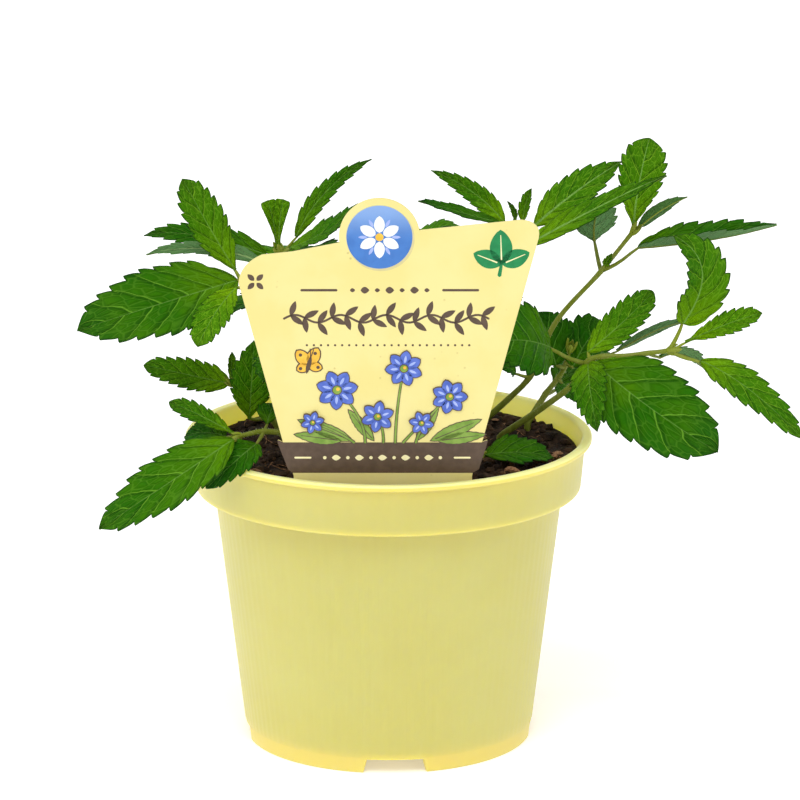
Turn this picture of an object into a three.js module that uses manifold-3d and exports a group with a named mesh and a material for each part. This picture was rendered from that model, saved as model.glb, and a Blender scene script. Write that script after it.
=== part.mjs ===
// Potted pepper sage: a round plastic pot of potting soil with a card label pushed in behind its front rim
// and leafy stems with toothed leaves. Millimetres, +Z up, the label faces -Y.
// Everything is placed from the pot's own axis, and one group at the end moves it all so that the origin
// is the middle of the whole object's base.
import * as THREE from "three";
import { mergeVertices } from "three/addons/utils/BufferGeometryUtils.js";
import Module from "manifold-3d";

const wasm = await Module();
wasm.setup();

// Driving dimensions
const POT_AXIS = [-15.7, -7.0]; // where the pot's axis stands, seen from the middle of the object's box
const POT_FACETS = 40;
const POT_HEIGHT = 91.6;
const LIP_RADIUS = 60;
const LIP_DEPTH = 1.8;
const BAND_TOP_RADIUS = 58.1;
const BAND_FOOT_RADIUS = 56.8;
const BAND_FOOT_Z = 75.7;
const BODY_FOOT_RADIUS = 42.3;
const BODY_FLARE = 0.1216; // radius gained for each millimetre of height
const WALL = 1.2;
const FLOOR_UNDERSIDE_Z = 4.4;
const FLOOR_THICKNESS = 1.4;
const FOOT_RING_WIDTH = 2.3;
const EDGE_ROUND = 0.5;
const NOTCH_COUNT = 4;
const NOTCH_TOP_WIDTH = 16.8;
const NOTCH_FOOT_WIDTH = 18.9;
const NOTCH_HEIGHT = 4.1;
const NOTCH_CORNER = 0.8;
const NOTCH_TURN = 2.7; // degrees, the front notch sits a little right of the middle
const DRAIN_COUNT = 4;
const DRAIN_RADIUS = 3.5;
const DRAIN_RING_RADIUS = 30;
const DRAIN_SIDES = 10;

const CLEARANCE = 0.35;
const SOIL_EDGE_Z = 86.2;
const SOIL_CROWN = 1.6;
const SOIL_RELIEF = 0.7;
const SOIL_EDGE_RADIUS = 55.8;
const SOIL_RING_RADII = [52, 45, 36, 27, 18, 9, 0];

const LABEL_THICKNESS = 0.8;
const LABEL_Y = -47; // at the height of the lip
const LABEL_LEAN = 5; // degrees, its top leans out over the front rim
const LABEL_HINGE_Z = 90;
const LABEL_CURVE_STEPS = 7;
const STAKE_HALF_WIDTH = 11;
const STAKE_POINT_HALF_WIDTH = 4;
const STAKE_POINT_LENGTH = 14;
const STAKE_TIP_Z = 46;
const STAKE_TOP_Z = 77;
// The card's outline, as [x, z] on the label's own plane
const CARD_FOOT_Z = 84;
const CARD_FOOT_CORNER = 3;
const CARD_FOOT_LEFT = [-27, 91.4];
const CARD_FOOT_RIGHT = [24, 91.4];
const STRIP_FOOT_LEFT = [-27.3, 92.4];
const STRIP_FOOT_RIGHT = [24.2, 92.4];
const STRIP_EDGE_LEFT = [-28.6, 93.5];
const STRIP_EDGE_RIGHT = [25.9, 93.5];
const SHOULDER_EDGE_LEFT = [-31.4, 101.3];
const SHOULDER_EDGE_RIGHT = [28.2, 101.3];
const SHOULDER_LEFT = [-31.8, 102.6];
const SHOULDER_RIGHT = [28.6, 102.6];
const SHOULDER_INNER_LEFT = [-30.8, 102];
const SHOULDER_INNER_RIGHT = [27.6, 102];
const NECK_LEFT = [-30, 101.6];
const NECK_RIGHT = [26.8, 101.6];
const CARD_RIGHT_EDGE_TOP = [42.4, 162.7];
const CARD_TOP_RIGHT = [43.3, 167.5];
const CARD_TOP_RIGHT_INNER = [37.4, 168];
const CARD_TOP_EDGE_BEND_RIGHT = [30.1, 167.2];
const BADGE_RIGHT_FOOT = [9.2, 165];
const BADGE_LEFT_FOOT = [-13.6, 161.3];
const CARD_TOP_EDGE_BEND_LEFT = [-27, 158.6];
const CARD_TOP_LEFT_INNER = [-35.5, 157.7];
const CARD_TOP_LEFT = [-41.6, 155];
const CARD_LEFT_EDGE_TOP = [-42.2, 149.5];
const BADGE_CENTRE = [-2.4, 163];
const BADGE_RADIUS = 11.4;

const STEM_RADIUS = 1.05;
const STEM_SIDES = 5;
const STEM_ROOT_Z = 72;
const SOIL_LINE = 89; // just above the soil: below it each stem stands straight in its socket
const SOCKET_SIDES = 8;
const STEPS_PER_POINT = 2;
const STALK_HALF_WIDTH = 0.5;
const STALK_THICKNESS = 1.1;
const MIDRIB_THICKNESS = 1.0;
const BLADE_THICKNESS = 0.75;
const FIRST_TOOTH = 0.13; // share of the blade below its first tooth
const TOOTH_SPACING = 6;
const FEWEST_TEETH = 3;
const MOST_TEETH = 8;
const TOOTH_REACH = 0.3; // how far a tooth's tip stands out past the blade's smooth outline
const TOOTH_LEAN = 0.8; // where the tooth's tip stands between its two notches
const NOTCH_SHARE = 0.87; // how far out the notches reach, as a share of the blade's half width
const PLAIN_LEAF = {
  petiole: 5, // length of the stalk, unless the blade's base is given
  fold: 9, // degrees that each half of the blade rises from its midrib
  swell: [0.7, 0.95], // powers that shape the blade towards its base and towards its tip
};

const COLOURS = {
  pot: 0xe5d984,
  soil: 0x2e1f17,
  label: 0xf6ec9e,
  leaf: 0x2f7312,
};

// Shapes as solids
function solid(geometry) {
  const bare = new THREE.BufferGeometry();
  bare.setAttribute("position", geometry.getAttribute("position").clone());
  if (geometry.index) {
    bare.setIndex(geometry.index.clone());
  }
  const merged = mergeVertices(bare, 1e-4);
  const corners = merged.index.array;
  const kept = [];
  for (let i = 0; i < corners.length; i += 3) {
    const [a, b, c] = [corners[i], corners[i + 1], corners[i + 2]];
    if (a !== b && b !== c && c !== a) {
      kept.push(a, b, c);
    }
  }
  const vertProperties = new Float32Array(merged.getAttribute("position").array);
  return new wasm.Manifold(new wasm.Mesh({ numProp: 3, vertProperties, triVerts: new Uint32Array(kept) }));
}

function meshOf(name, body, colour, roughness) {
  const data = body.getMesh();
  const geometry = new THREE.BufferGeometry();
  geometry.setAttribute("position", new THREE.BufferAttribute(data.vertProperties, 3));
  geometry.setIndex(new THREE.BufferAttribute(data.triVerts, 1));
  const material = new THREE.MeshStandardMaterial({ color: colour, roughness, metalness: 0 });
  const mesh = new THREE.Mesh(geometry, material);
  mesh.name = name;
  return mesh;
}

function lathe(profile) {
  const points = profile.map(([radius, height]) => new THREE.Vector2(radius, height));
  const geometry = new THREE.LatheGeometry(points, POT_FACETS);
  geometry.rotateX(Math.PI / 2);
  return geometry;
}

const bodyRadius = (z) => BODY_FOOT_RADIUS + BODY_FLARE * z;

// Pot
function makePot() {
  const floorTop = FLOOR_UNDERSIDE_Z + FLOOR_THICKNESS;
  const ringInside = BODY_FOOT_RADIUS - FOOT_RING_WIDTH;
  const bandUnder = BAND_FOOT_Z + WALL;
  const lipUnder = POT_HEIGHT - LIP_DEPTH;
  const profile = [
    [0, FLOOR_UNDERSIDE_Z],
    [ringInside, FLOOR_UNDERSIDE_Z],
    [ringInside, 0],
    [BODY_FOOT_RADIUS - EDGE_ROUND, 0],
    [bodyRadius(EDGE_ROUND), EDGE_ROUND],
    [bodyRadius(BAND_FOOT_Z), BAND_FOOT_Z],
    [BAND_FOOT_RADIUS - EDGE_ROUND, BAND_FOOT_Z],
    [BAND_FOOT_RADIUS, BAND_FOOT_Z + EDGE_ROUND],
    [BAND_TOP_RADIUS, lipUnder - EDGE_ROUND],
    [LIP_RADIUS - EDGE_ROUND, lipUnder],
    [LIP_RADIUS, lipUnder + EDGE_ROUND],
    [LIP_RADIUS, POT_HEIGHT - EDGE_ROUND],
    [LIP_RADIUS - EDGE_ROUND, POT_HEIGHT],
    [BAND_TOP_RADIUS, POT_HEIGHT],
    [BAND_TOP_RADIUS - WALL, POT_HEIGHT - WALL],
    [BAND_FOOT_RADIUS - WALL, bandUnder],
    [bodyRadius(bandUnder) - WALL, bandUnder],
    [bodyRadius(floorTop) - WALL, floorTop],
    [0, floorTop],
  ];
  let pot = solid(lathe(profile));
  for (let i = 0; i < NOTCH_COUNT; i += 1) {
    const turn = THREE.MathUtils.degToRad(NOTCH_TURN) + (i * 2 * Math.PI) / NOTCH_COUNT;
    pot = pot.subtract(solid(notchCutter(turn)));
  }
  for (let i = 0; i < DRAIN_COUNT; i += 1) {
    const turn = ((i + 0.5) * 2 * Math.PI) / DRAIN_COUNT;
    const hole = new THREE.CylinderGeometry(DRAIN_RADIUS, DRAIN_RADIUS, FLOOR_THICKNESS * 3, DRAIN_SIDES);
    hole.rotateX(Math.PI / 2);
    hole.translate(
      DRAIN_RING_RADIUS * Math.cos(turn),
      DRAIN_RING_RADIUS * Math.sin(turn),
      FLOOR_UNDERSIDE_Z + FLOOR_THICKNESS / 2,
    );
    pot = pot.subtract(solid(hole));
  }
  return pot;
}

function notchCutter(turn) {
  const shape = new THREE.Shape();
  const top = NOTCH_TOP_WIDTH / 2;
  const foot = NOTCH_FOOT_WIDTH / 2;
  const below = -1;
  const reach = 12;
  shape.moveTo(-foot, below);
  shape.lineTo(foot, below);
  shape.lineTo(top, NOTCH_HEIGHT - NOTCH_CORNER);
  shape.lineTo(top - NOTCH_CORNER, NOTCH_HEIGHT);
  shape.lineTo(-top + NOTCH_CORNER, NOTCH_HEIGHT);
  shape.lineTo(-top, NOTCH_HEIGHT - NOTCH_CORNER);
  const geometry = new THREE.ExtrudeGeometry(shape, { depth: reach, bevelEnabled: false });
  geometry.rotateX(Math.PI / 2);
  geometry.translate(0, -BODY_FOOT_RADIUS + reach / 2, 0);
  geometry.rotateZ(turn);
  return geometry;
}

// Soil, with a lumpy top that is a little higher in the middle
function soilHeight(x, y) {
  const radius = Math.hypot(x, y);
  const crown = SOIL_CROWN * (1 - (radius / BAND_FOOT_RADIUS) ** 2);
  const lumps = Math.sin(0.31 * x + 1.3) * Math.cos(0.27 * y - 0.4)
    + 0.6 * Math.sin(0.53 * y + 0.22 * x) * Math.cos(0.47 * x - 0.9);
  return SOIL_EDGE_Z + crown + SOIL_RELIEF * lumps;
}

function makeSoil() {
  const inside = WALL + CLEARANCE;
  const foot = FLOOR_UNDERSIDE_Z + FLOOR_THICKNESS + CLEARANCE;
  const ledge = BAND_FOOT_Z + WALL + CLEARANCE;
  const rough = SOIL_EDGE_Z + SOIL_CROWN / 2;
  const profile = [
    [0, foot],
    [bodyRadius(foot) - inside, foot],
    [bodyRadius(ledge) - inside, ledge],
    [BAND_FOOT_RADIUS - inside, ledge],
    [SOIL_EDGE_RADIUS, SOIL_EDGE_Z],
    ...SOIL_RING_RADII.map((radius) => [radius, rough]),
  ];
  const geometry = lathe(profile);
  const places = geometry.getAttribute("position");
  for (let i = 0; i < places.count; i += 1) {
    if (places.getZ(i) > SOIL_EDGE_Z) {
      places.setZ(i, soilHeight(places.getX(i), places.getY(i)));
    }
  }
  let soil = solid(geometry);
  for (const stem of STEMS) {
    const [x, y] = stem.path[0];
    const depth = POT_HEIGHT - STEM_ROOT_Z;
    const radius = (STEM_RADIUS + CLEARANCE) / Math.cos(Math.PI / SOCKET_SIDES);
    const socket = new THREE.CylinderGeometry(radius, radius, depth, SOCKET_SIDES);
    socket.rotateX(Math.PI / 2);
    socket.translate(x, y, STEM_ROOT_Z - CLEARANCE + depth / 2);
    soil = soil.subtract(solid(socket));
  }
  return soil.subtract(solid(labelPlate(CLEARANCE)));
}

// Label: a card wider at the top, with a round place for a badge on its top edge, a strip with shoulders at
// its foot, and a stake in the soil.
// "grow" widens what stands in the soil, which gives the slot its clearance.
function labelOutline(grow) {
  const shape = new THREE.Shape();
  const [badgeX, badgeZ] = BADGE_CENTRE;
  const badgeAngle = ([x, z]) => Math.atan2(z - badgeZ, x - badgeX);
  const wide = STAKE_HALF_WIDTH + grow;
  const narrow = STAKE_POINT_HALF_WIDTH + grow;
  shape.moveTo(-narrow, STAKE_TIP_Z - grow);
  shape.lineTo(narrow, STAKE_TIP_Z - grow);
  shape.lineTo(wide, STAKE_TIP_Z + STAKE_POINT_LENGTH);
  shape.lineTo(wide, STAKE_TOP_Z - grow);
  shape.lineTo(CARD_FOOT_RIGHT[0] - CARD_FOOT_CORNER + grow, CARD_FOOT_Z - grow);
  shape.lineTo(CARD_FOOT_RIGHT[0] + grow, CARD_FOOT_Z + CARD_FOOT_CORNER);
  shape.lineTo(CARD_FOOT_RIGHT[0] + grow, CARD_FOOT_RIGHT[1]);
  shape.lineTo(...STRIP_FOOT_RIGHT);
  shape.lineTo(...STRIP_EDGE_RIGHT);
  shape.lineTo(...SHOULDER_EDGE_RIGHT);
  shape.quadraticCurveTo(...SHOULDER_RIGHT, ...SHOULDER_INNER_RIGHT);
  shape.lineTo(...NECK_RIGHT);
  shape.lineTo(...CARD_RIGHT_EDGE_TOP);
  shape.quadraticCurveTo(...CARD_TOP_RIGHT, ...CARD_TOP_RIGHT_INNER);
  shape.lineTo(...CARD_TOP_EDGE_BEND_RIGHT);
  shape.lineTo(...BADGE_RIGHT_FOOT);
  const turns = [badgeAngle(BADGE_RIGHT_FOOT), badgeAngle(BADGE_LEFT_FOOT)];
  shape.absarc(badgeX, badgeZ, BADGE_RADIUS, ...turns, false);
  shape.lineTo(...CARD_TOP_EDGE_BEND_LEFT);
  shape.lineTo(...CARD_TOP_LEFT_INNER);
  shape.quadraticCurveTo(...CARD_TOP_LEFT, ...CARD_LEFT_EDGE_TOP);
  shape.lineTo(...NECK_LEFT);
  shape.lineTo(...SHOULDER_INNER_LEFT);
  shape.quadraticCurveTo(...SHOULDER_LEFT, ...SHOULDER_EDGE_LEFT);
  shape.lineTo(...STRIP_EDGE_LEFT);
  shape.lineTo(...STRIP_FOOT_LEFT);
  shape.lineTo(CARD_FOOT_LEFT[0] - grow, CARD_FOOT_LEFT[1]);
  shape.lineTo(CARD_FOOT_LEFT[0] - grow, CARD_FOOT_Z + CARD_FOOT_CORNER);
  shape.lineTo(CARD_FOOT_LEFT[0] + CARD_FOOT_CORNER - grow, CARD_FOOT_Z - grow);
  shape.lineTo(-wide, STAKE_TOP_Z - grow);
  shape.lineTo(-wide, STAKE_TIP_Z + STAKE_POINT_LENGTH);
  return shape;
}

function labelPlate(grow) {
  const depth = LABEL_THICKNESS + 2 * grow;
  const options = { depth, bevelEnabled: false, curveSegments: LABEL_CURVE_STEPS };
  const geometry = new THREE.ExtrudeGeometry(labelOutline(grow), options);
  geometry.rotateX(Math.PI / 2);
  geometry.translate(0, depth / 2, -LABEL_HINGE_Z);
  geometry.rotateX(THREE.MathUtils.degToRad(LABEL_LEAN));
  geometry.translate(0, LABEL_Y, LABEL_HINGE_Z);
  return geometry;
}

// Leafy stems. Each path starts at the foot of its socket in the soil. A leaf grows from the path's point
// number "at", and "base" is where its blade starts when the petiole doesn't point at the tip. "face" is the
// way its upper side looks, and "bow" is how far the middle of the blade bulges from the straight line.
const STEMS = [
  {
    name: "stem_left_high",
    path: [[-19, -9, SOIL_LINE], [-27, -10, 112], [-37, -9, 130], [-43, -8, 140]],
    leaves: [
      {
        at: 3, tip: [-89.2, -32, 130.6], width: 23, petiole: 1, face: [0, -0.75, 0.66],
        bow: [0, -1, 0.3], swell: [0.58, 0.72],
      },
      {
        at: 2.8, base: [-43.9, -15, 139.4], tip: [-54.9, -31, 125.4], width: 10.5,
        face: [-0.3, -0.85, 0.4], bow: [-0.4, -1, 1.4], swell: [0.8, 0.65],
      },
      {
        at: 3, tip: [-59.4, -6, 169.5], width: 12, petiole: 3, face: [0.35, -0.9, 0.3],
        bow: [-1, -0.5, 1], swell: [0.75, 0.7],
      },
      { at: 1, tip: [-36, -34, 116], width: 14, face: [0, -0.5, 0.8], bow: [0, 0, 3] },
    ],
  },
  {
    name: "stem_left_tip",
    path: [[-12, 6, SOIL_LINE], [-18, 9, 112], [-25, 8, 132], [-31.5, 6, 144.5]],
    leaves: [
      {
        at: 3, base: [-33.1, 6.6, 146], tip: [-38.1, 7, 159.4], width: 5.2, face: [0.1, -1, 0.1],
        bow: [2.1, 0, 0.3], fold: 14, swell: [1.6, 0.62],
      },
      {
        at: 3, base: [-32.5, 5.4, 146], tip: [-28.5, 5, 160.1], width: 5.2, face: [-0.1, -1, 0.1],
        bow: [-1.9, 0, 0.3], fold: 14, swell: [1.6, 0.62],
      },
      {
        at: 3, base: [-27.2, 7, 149.2], tip: [-5, 8, 172.3], width: 6.2, face: [-0.35, -0.8, 0.5],
        bow: [-2, 0, 2.2], swell: [0.5, 0.95],
      },
      {
        at: 3, base: [-29, 3, 147], tip: [-6, -8, 163], width: 11, face: [0, -0.4, 0.9],
        bow: [-0.8, -0.5, -1.8], swell: [0.6, 0.9],
      },
      { at: 2.7, tip: [-14.6, -14, 151.5], width: 10, face: [0, -0.15, 1], bow: [0, 0, 2] },
      {
        at: 2.9, base: [-36, 9, 143.4], tip: [-73, 19, 147.8], width: 8.8, face: [0, -0.7, 0.7],
        bow: [-1, -0.5, 2.5], swell: [0.38, 0.85],
      },
      {
        at: 2.8, base: [-36.6, 4, 142], tip: [-71, 4, 144.6], width: 9, face: [0, -0.3, 0.95],
        bow: [0, 0, 3], swell: [0.5, 0.9],
      },
      { at: 1.6, tip: [-12, -26, 124], width: 15, face: [0, -0.4, 0.9], bow: [0, 0, 4] },
    ],
  },
  {
    name: "stem_left_low",
    path: [[-20, -24, SOIL_LINE], [-27, -26, 97], [-36, -28.5, 99.5], [-43, -30, 98.5]],
    leaves: [
      {
        at: 3, base: [-44.5, -40, 100.3], tip: [-82.7, -55, 78], width: 17.5,
        face: [-0.15, -0.7, 0.7], bow: [0, -3.5, 0.5], swell: [0.58, 0.8],
      },
      {
        at: 2, base: [-38, -33.5, 97.3], tip: [-52.4, -43, 86.4], width: 10, face: [0, -0.7, 0.7],
        bow: [1.7, -3, 2.6], swell: [0.5, 0.7],
      },
      {
        at: 3, tip: [-63.7, -20, 106.4], width: 6.6, petiole: 2, face: [0, -0.6, 0.8],
        bow: [0.5, 0, 0.2], swell: [0.9, 0.55],
      },
      { at: 3, tip: [-58, -18, 97.5], width: 8, face: [0, -0.5, 0.85], bow: [0, 0, 1], swell: [0.6, 0.6] },
      { at: 2, tip: [-33, -12, 104], width: 8, face: [0, -0.5, 0.8], bow: [0, 0, 1] },
    ],
  },
  {
    name: "stem_left_middle",
    path: [[-30, 0, SOIL_LINE], [-35, -1, 97], [-41, 0, 102], [-46, 0, 106.5]],
    leaves: [
      {
        at: 3, tip: [-72.2, 4, 111.5], width: 10, petiole: 1, face: [0, -0.75, 0.65],
        bow: [0.5, 0, -0.3], swell: [0.38, 0.55],
      },
      {
        at: 3, base: [-46.3, -2, 108.8], tip: [-45.8, -3, 116.8], width: 3, face: [0.3, -0.9, 0],
        bow: [0, 0, 0], fold: 30, swell: [0.6, 0.6],
      },
      {
        at: 1, base: [-40.8, -9, 98], tip: [-39.1, -13, 122.8], width: 12.5, face: [0.1, -1, 0.1],
        bow: [0, -1, -1], swell: [1.1, 0.95],
      },
      { at: 2.5, tip: [-36, 32, 95], width: 13, face: [0, 0, 1], bow: [0, 0, 3] },
    ],
  },
  {
    name: "stem_right_high",
    path: [
      [28, 22, SOIL_LINE], [36, 20, 97], [42, 18, 104], [49.5, 13, 122], [62.5, 8, 138.6],
      [71.5, 5, 151],
    ],
    leaves: [
      {
        at: 5, tip: [76.3, 8, 178.5], width: 13.8, petiole: 1, face: [0.1, -1, 0.15],
        bow: [-0.7, 0, -0.3], swell: [1.15, 0.58],
      },
      {
        at: 5, base: [73, 7, 151.9], tip: [87.6, 14, 160], width: 5.4, face: [-0.3, 0.8, 0.3],
        bow: [-0.8, -0.5, 0.6], swell: [0.8, 0.95],
      },
      {
        at: 4, base: [60.8, 16, 146], tip: [62.4, 13, 160], width: 12.8, face: [0, 0.95, 0.3],
        bow: [-0.9, 0, -0.8], swell: [0.8, 0.6],
      },
      {
        at: 4, base: [73, 2, 147.6], tip: [113, -5, 155.4], width: 10, face: [0, -0.14, 1],
        bow: [-1, -0.5, -0.9], fold: 42, swell: [0.5, 0.8],
      },
      {
        at: 4, tip: [65.3, 4, 144.6], width: 2.4, petiole: 2, face: [0, -1, 0.2], bow: [0, 0, 0],
        fold: 30,
      },
      { at: 2, tip: [33, 13, 108], width: 8, face: [0, -0.5, 0.85], bow: [0, 0, 1] },
    ],
  },
  {
    name: "stem_middle_high",
    path: [[10, 8, SOIL_LINE], [16, 8, 110], [27, 6, 135], [38, 4, 149]],
    leaves: [
      {
        at: 3, base: [33.8, 3, 154.5], tip: [12.4, 10, 168.8], width: 6.4,
        face: [-0.2, -0.85, 0.5], bow: [1.9, 0, 0.8], swell: [0.55, 0.9],
      },
      {
        at: 3, base: [33.4, -1, 155], tip: [9, -8, 163.8], width: 6.6, face: [0, -0.35, 1],
        bow: [-1.5, -0.5, 0.3], swell: [0.6, 0.9],
      },
      {
        at: 3, tip: [41.5, 2, 164.7], width: 3.6, face: [-0.5, -0.8, 0], bow: [-0.4, 0, 0],
        fold: 30, swell: [0.7, 0.7],
      },
      {
        at: 3, base: [37, 6, 154.3], tip: [34.8, 4, 160.4], width: 1.8, face: [0, -1, 0],
        bow: [0.8, 0, 0], fold: 30,
      },
      {
        at: 3, base: [42.5, 6, 152.5], tip: [68.2, 12, 171], width: 11.5,
        face: [-0.15, -0.75, 0.6], bow: [-1.4, 0, -0.2], swell: [0.8, 0.9],
      },
      {
        at: 3, base: [41.8, 1, 148.8], tip: [80.3, -7, 170.9], width: 8.8,
        face: [-0.2, -0.55, 0.8], bow: [0, -0.5, 0.6], swell: [0.4, 0.95],
      },
      { at: 1.4, tip: [2, -28, 128], width: 17, face: [0, -0.4, 0.9], bow: [0, 0, 4] },
      { at: 2, tip: [20, -30, 139], width: 14, face: [0, -0.35, 0.9], bow: [0, 0, 3] },
    ],
  },
  {
    name: "stem_right_low",
    path: [[33, 6, SOIL_LINE], [45, 0, 99], [54, -3, 107], [59, -5, 115], [70, -6, 116.5], [82, -6, 118]],
    leaves: [
      {
        at: 3, tip: [95.2, -32, 94.3], width: 25.8, petiole: 2, face: [0.1, -0.85, 0.5],
        bow: [-1.3, 0, -0.4], swell: [0.5, 0.65],
      },
      {
        at: 2.9, tip: [60.5, -25, 98.5], width: 11.2, petiole: 2, face: [-0.3, -0.85, 0.4],
        bow: [-0.7, -2, 2], swell: [0.55, 0.8],
      },
      {
        at: 3, base: [58.4, -4, 117.2], tip: [77.7, 4, 133.5], width: 10.2,
        face: [-0.2, -0.85, 0.5], bow: [0.3, 0, -0.5], swell: [0.9, 0.5],
      },
      {
        at: 2.8, base: [47.5, -8, 119.5], tip: [28, -27, 124.6], width: 23, face: [0, -0.85, 0.5],
        bow: [0, -4, 3], swell: [0.5, 0.7],
      },
      {
        at: 5, base: [86, -6, 126], tip: [83, -21, 155.7], width: 15, face: [0.4, -0.9, 0.2],
        bow: [6.5, -0.5, 2.4], fold: 22, swell: [0.4, 0.75],
      },
      {
        at: 5, base: [86.6, -7.5, 121], tip: [109, -8, 130], width: 7.4, face: [-0.2, -0.8, 0.6],
        bow: [0.4, -0.5, 0.9], swell: [1.1, 0.8],
      },
      { at: 3.4, tip: [87, 16, 121], width: 7, face: [0, 0.5, 0.85], bow: [0, 0, 1.5] },
      {
        at: 5, base: [91, -9.5, 115.9], tip: [120.5, -26, 96], width: 10.8, face: [0.1, -0.7, 0.7],
        bow: [-0.6, 0, 3.2], swell: [0.6, 0.8],
      },
      { at: 4.5, tip: [94, 12, 108], width: 8, face: [0, 0.5, 0.8], bow: [0, 0, 3] },
    ],
  },
  {
    name: "stem_right_inner",
    path: [[41.5, 21, SOIL_LINE], [47, 25, 97], [52, 25, 104], [54, 23, 111]],
    leaves: [
      { at: 3, tip: [46, 28, 121.5], width: 12, petiole: 3, face: [0, -0.9, 0.4], bow: [0, 0, 1] },
      { at: 3, tip: [65, 31, 117.5], width: 12, petiole: 3, face: [0, -0.7, 0.7], bow: [0, 0, 2] },
      { at: 1, tip: [66, 48, 101], width: 14, face: [0, 0.1, 1], bow: [0, 0, 4] },
      { at: 1.7, tip: [56, 8, 99], width: 8, petiole: 4, face: [0, -0.8, 0.5], bow: [0, 0, 1] },
    ],
  },
  {
    name: "stem_front_low",
    path: [[20, -22, SOIL_LINE], [22, -23, 90.5], [25, -23, 91.2]],
    leaves: [
      { at: 2, tip: [48.5, -20, 90], width: 15, petiole: 3, face: [0, -0.3, 0.95], bow: [0, 0, 1] },
      { at: 1.5, tip: [4, -35, 92], width: 12, petiole: 3, face: [0, -0.2, 1], bow: [0, 0, 3] },
    ],
  },
  {
    name: "stem_back_left",
    path: [[-17, 27, SOIL_LINE], [-20, 34, 104], [-25, 42, 118], [-28, 47, 129]],
    leaves: [
      { at: 1, tip: [-35, 70, 96], width: 19, face: [0, 0.1, 1], bow: [0, 0, 5], swell: [0.7, 0.7] },
      { at: 1, tip: [-5, 10, 98], width: 14, face: [0, 0, 1], bow: [0, 0, 3] },
      { at: 2, tip: [-48, 24, 122], width: 15, face: [-0.1, 0, 1], bow: [0, 0, 4], swell: [0.7, 0.7] },
      { at: 2, tip: [-12, 66, 112], width: 16, face: [0, 0.1, 1], bow: [0, 0, 4], swell: [0.7, 0.7] },
      { at: 3, tip: [-36, 70, 131], width: 12, face: [0, 0.2, 1], bow: [0, 0, 3] },
      { at: 3, tip: [-20, 28, 138], width: 9, face: [0, -0.2, 1], bow: [0, 0, 2] },
      { at: 3, tip: [-29, 50, 135], width: 5, petiole: 2, face: [0, 1, 0], bow: [0, 0, 0], fold: 35 },
    ],
  },
  {
    name: "stem_back_middle",
    path: [[0, 22, SOIL_LINE], [1, 27, 107], [2, 32, 124], [2, 36, 137]],
    leaves: [
      { at: 1, tip: [6, 66, 96], width: 19, face: [0, 0.2, 1], bow: [0, 0, 6], swell: [0.7, 0.7] },
      { at: 1, tip: [26, 16, 113], width: 14, face: [0, 0, 1], bow: [0, 0, 3] },
      { at: 2, tip: [-14, 24, 126], width: 9, face: [0, 0, 1], bow: [0, 0, 2] },
      { at: 2, tip: [9, 66, 122], width: 15, face: [0, 0.1, 1], bow: [0, 0, 4], swell: [0.7, 0.7] },
      { at: 3, tip: [22, 40, 145], width: 11, face: [0, 0, 1], bow: [0, 0, 3] },
      { at: 3, tip: [-16, 42, 145], width: 10, face: [0, 0, 1], bow: [0, 0, 3] },
      { at: 3, tip: [2, 38, 148], width: 5, petiole: 2, face: [0, 1, 0], bow: [0, 0, 0], fold: 35 },
    ],
  },
  {
    name: "stem_back_right",
    path: [[17, 32, SOIL_LINE], [22, 39, 103], [27, 46, 115], [30, 50, 125]],
    leaves: [
      { at: 1, tip: [33, 74, 94], width: 19, face: [0, 0.1, 1], bow: [0, 0, 5], swell: [0.7, 0.7] },
      { at: 1, tip: [40, 38, 110], width: 9, face: [0, 0, 1], bow: [0, 0, 2] },
      { at: 2, tip: [37, 66, 114], width: 14, face: [0, 0.1, 1], bow: [0, 0, 4], swell: [0.7, 0.7] },
      { at: 2, tip: [14, 74, 116], width: 14, face: [0, 0.1, 1], bow: [0, 0, 4], swell: [0.7, 0.7] },
      { at: 3, tip: [36, 70, 132], width: 11, face: [0, 0.2, 1], bow: [0, 0, 3] },
      { at: 3, tip: [24, 32, 131], width: 9, face: [0, -0.2, 1], bow: [0, 0, 2] },
      { at: 3, tip: [31, 52, 134], width: 5, petiole: 2, face: [0, 1, 0], bow: [0, 0, 0], fold: 35 },
    ],
  },
];

// Width of a blade along its length, as a share of its widest place. High powers give narrow ends.
function bladeShare(t, [basePower, tipPower]) {
  const peak = basePower / (basePower + tipPower);
  return (t / peak) ** basePower * ((1 - t) / (1 - peak)) ** tipPower;
}

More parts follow.
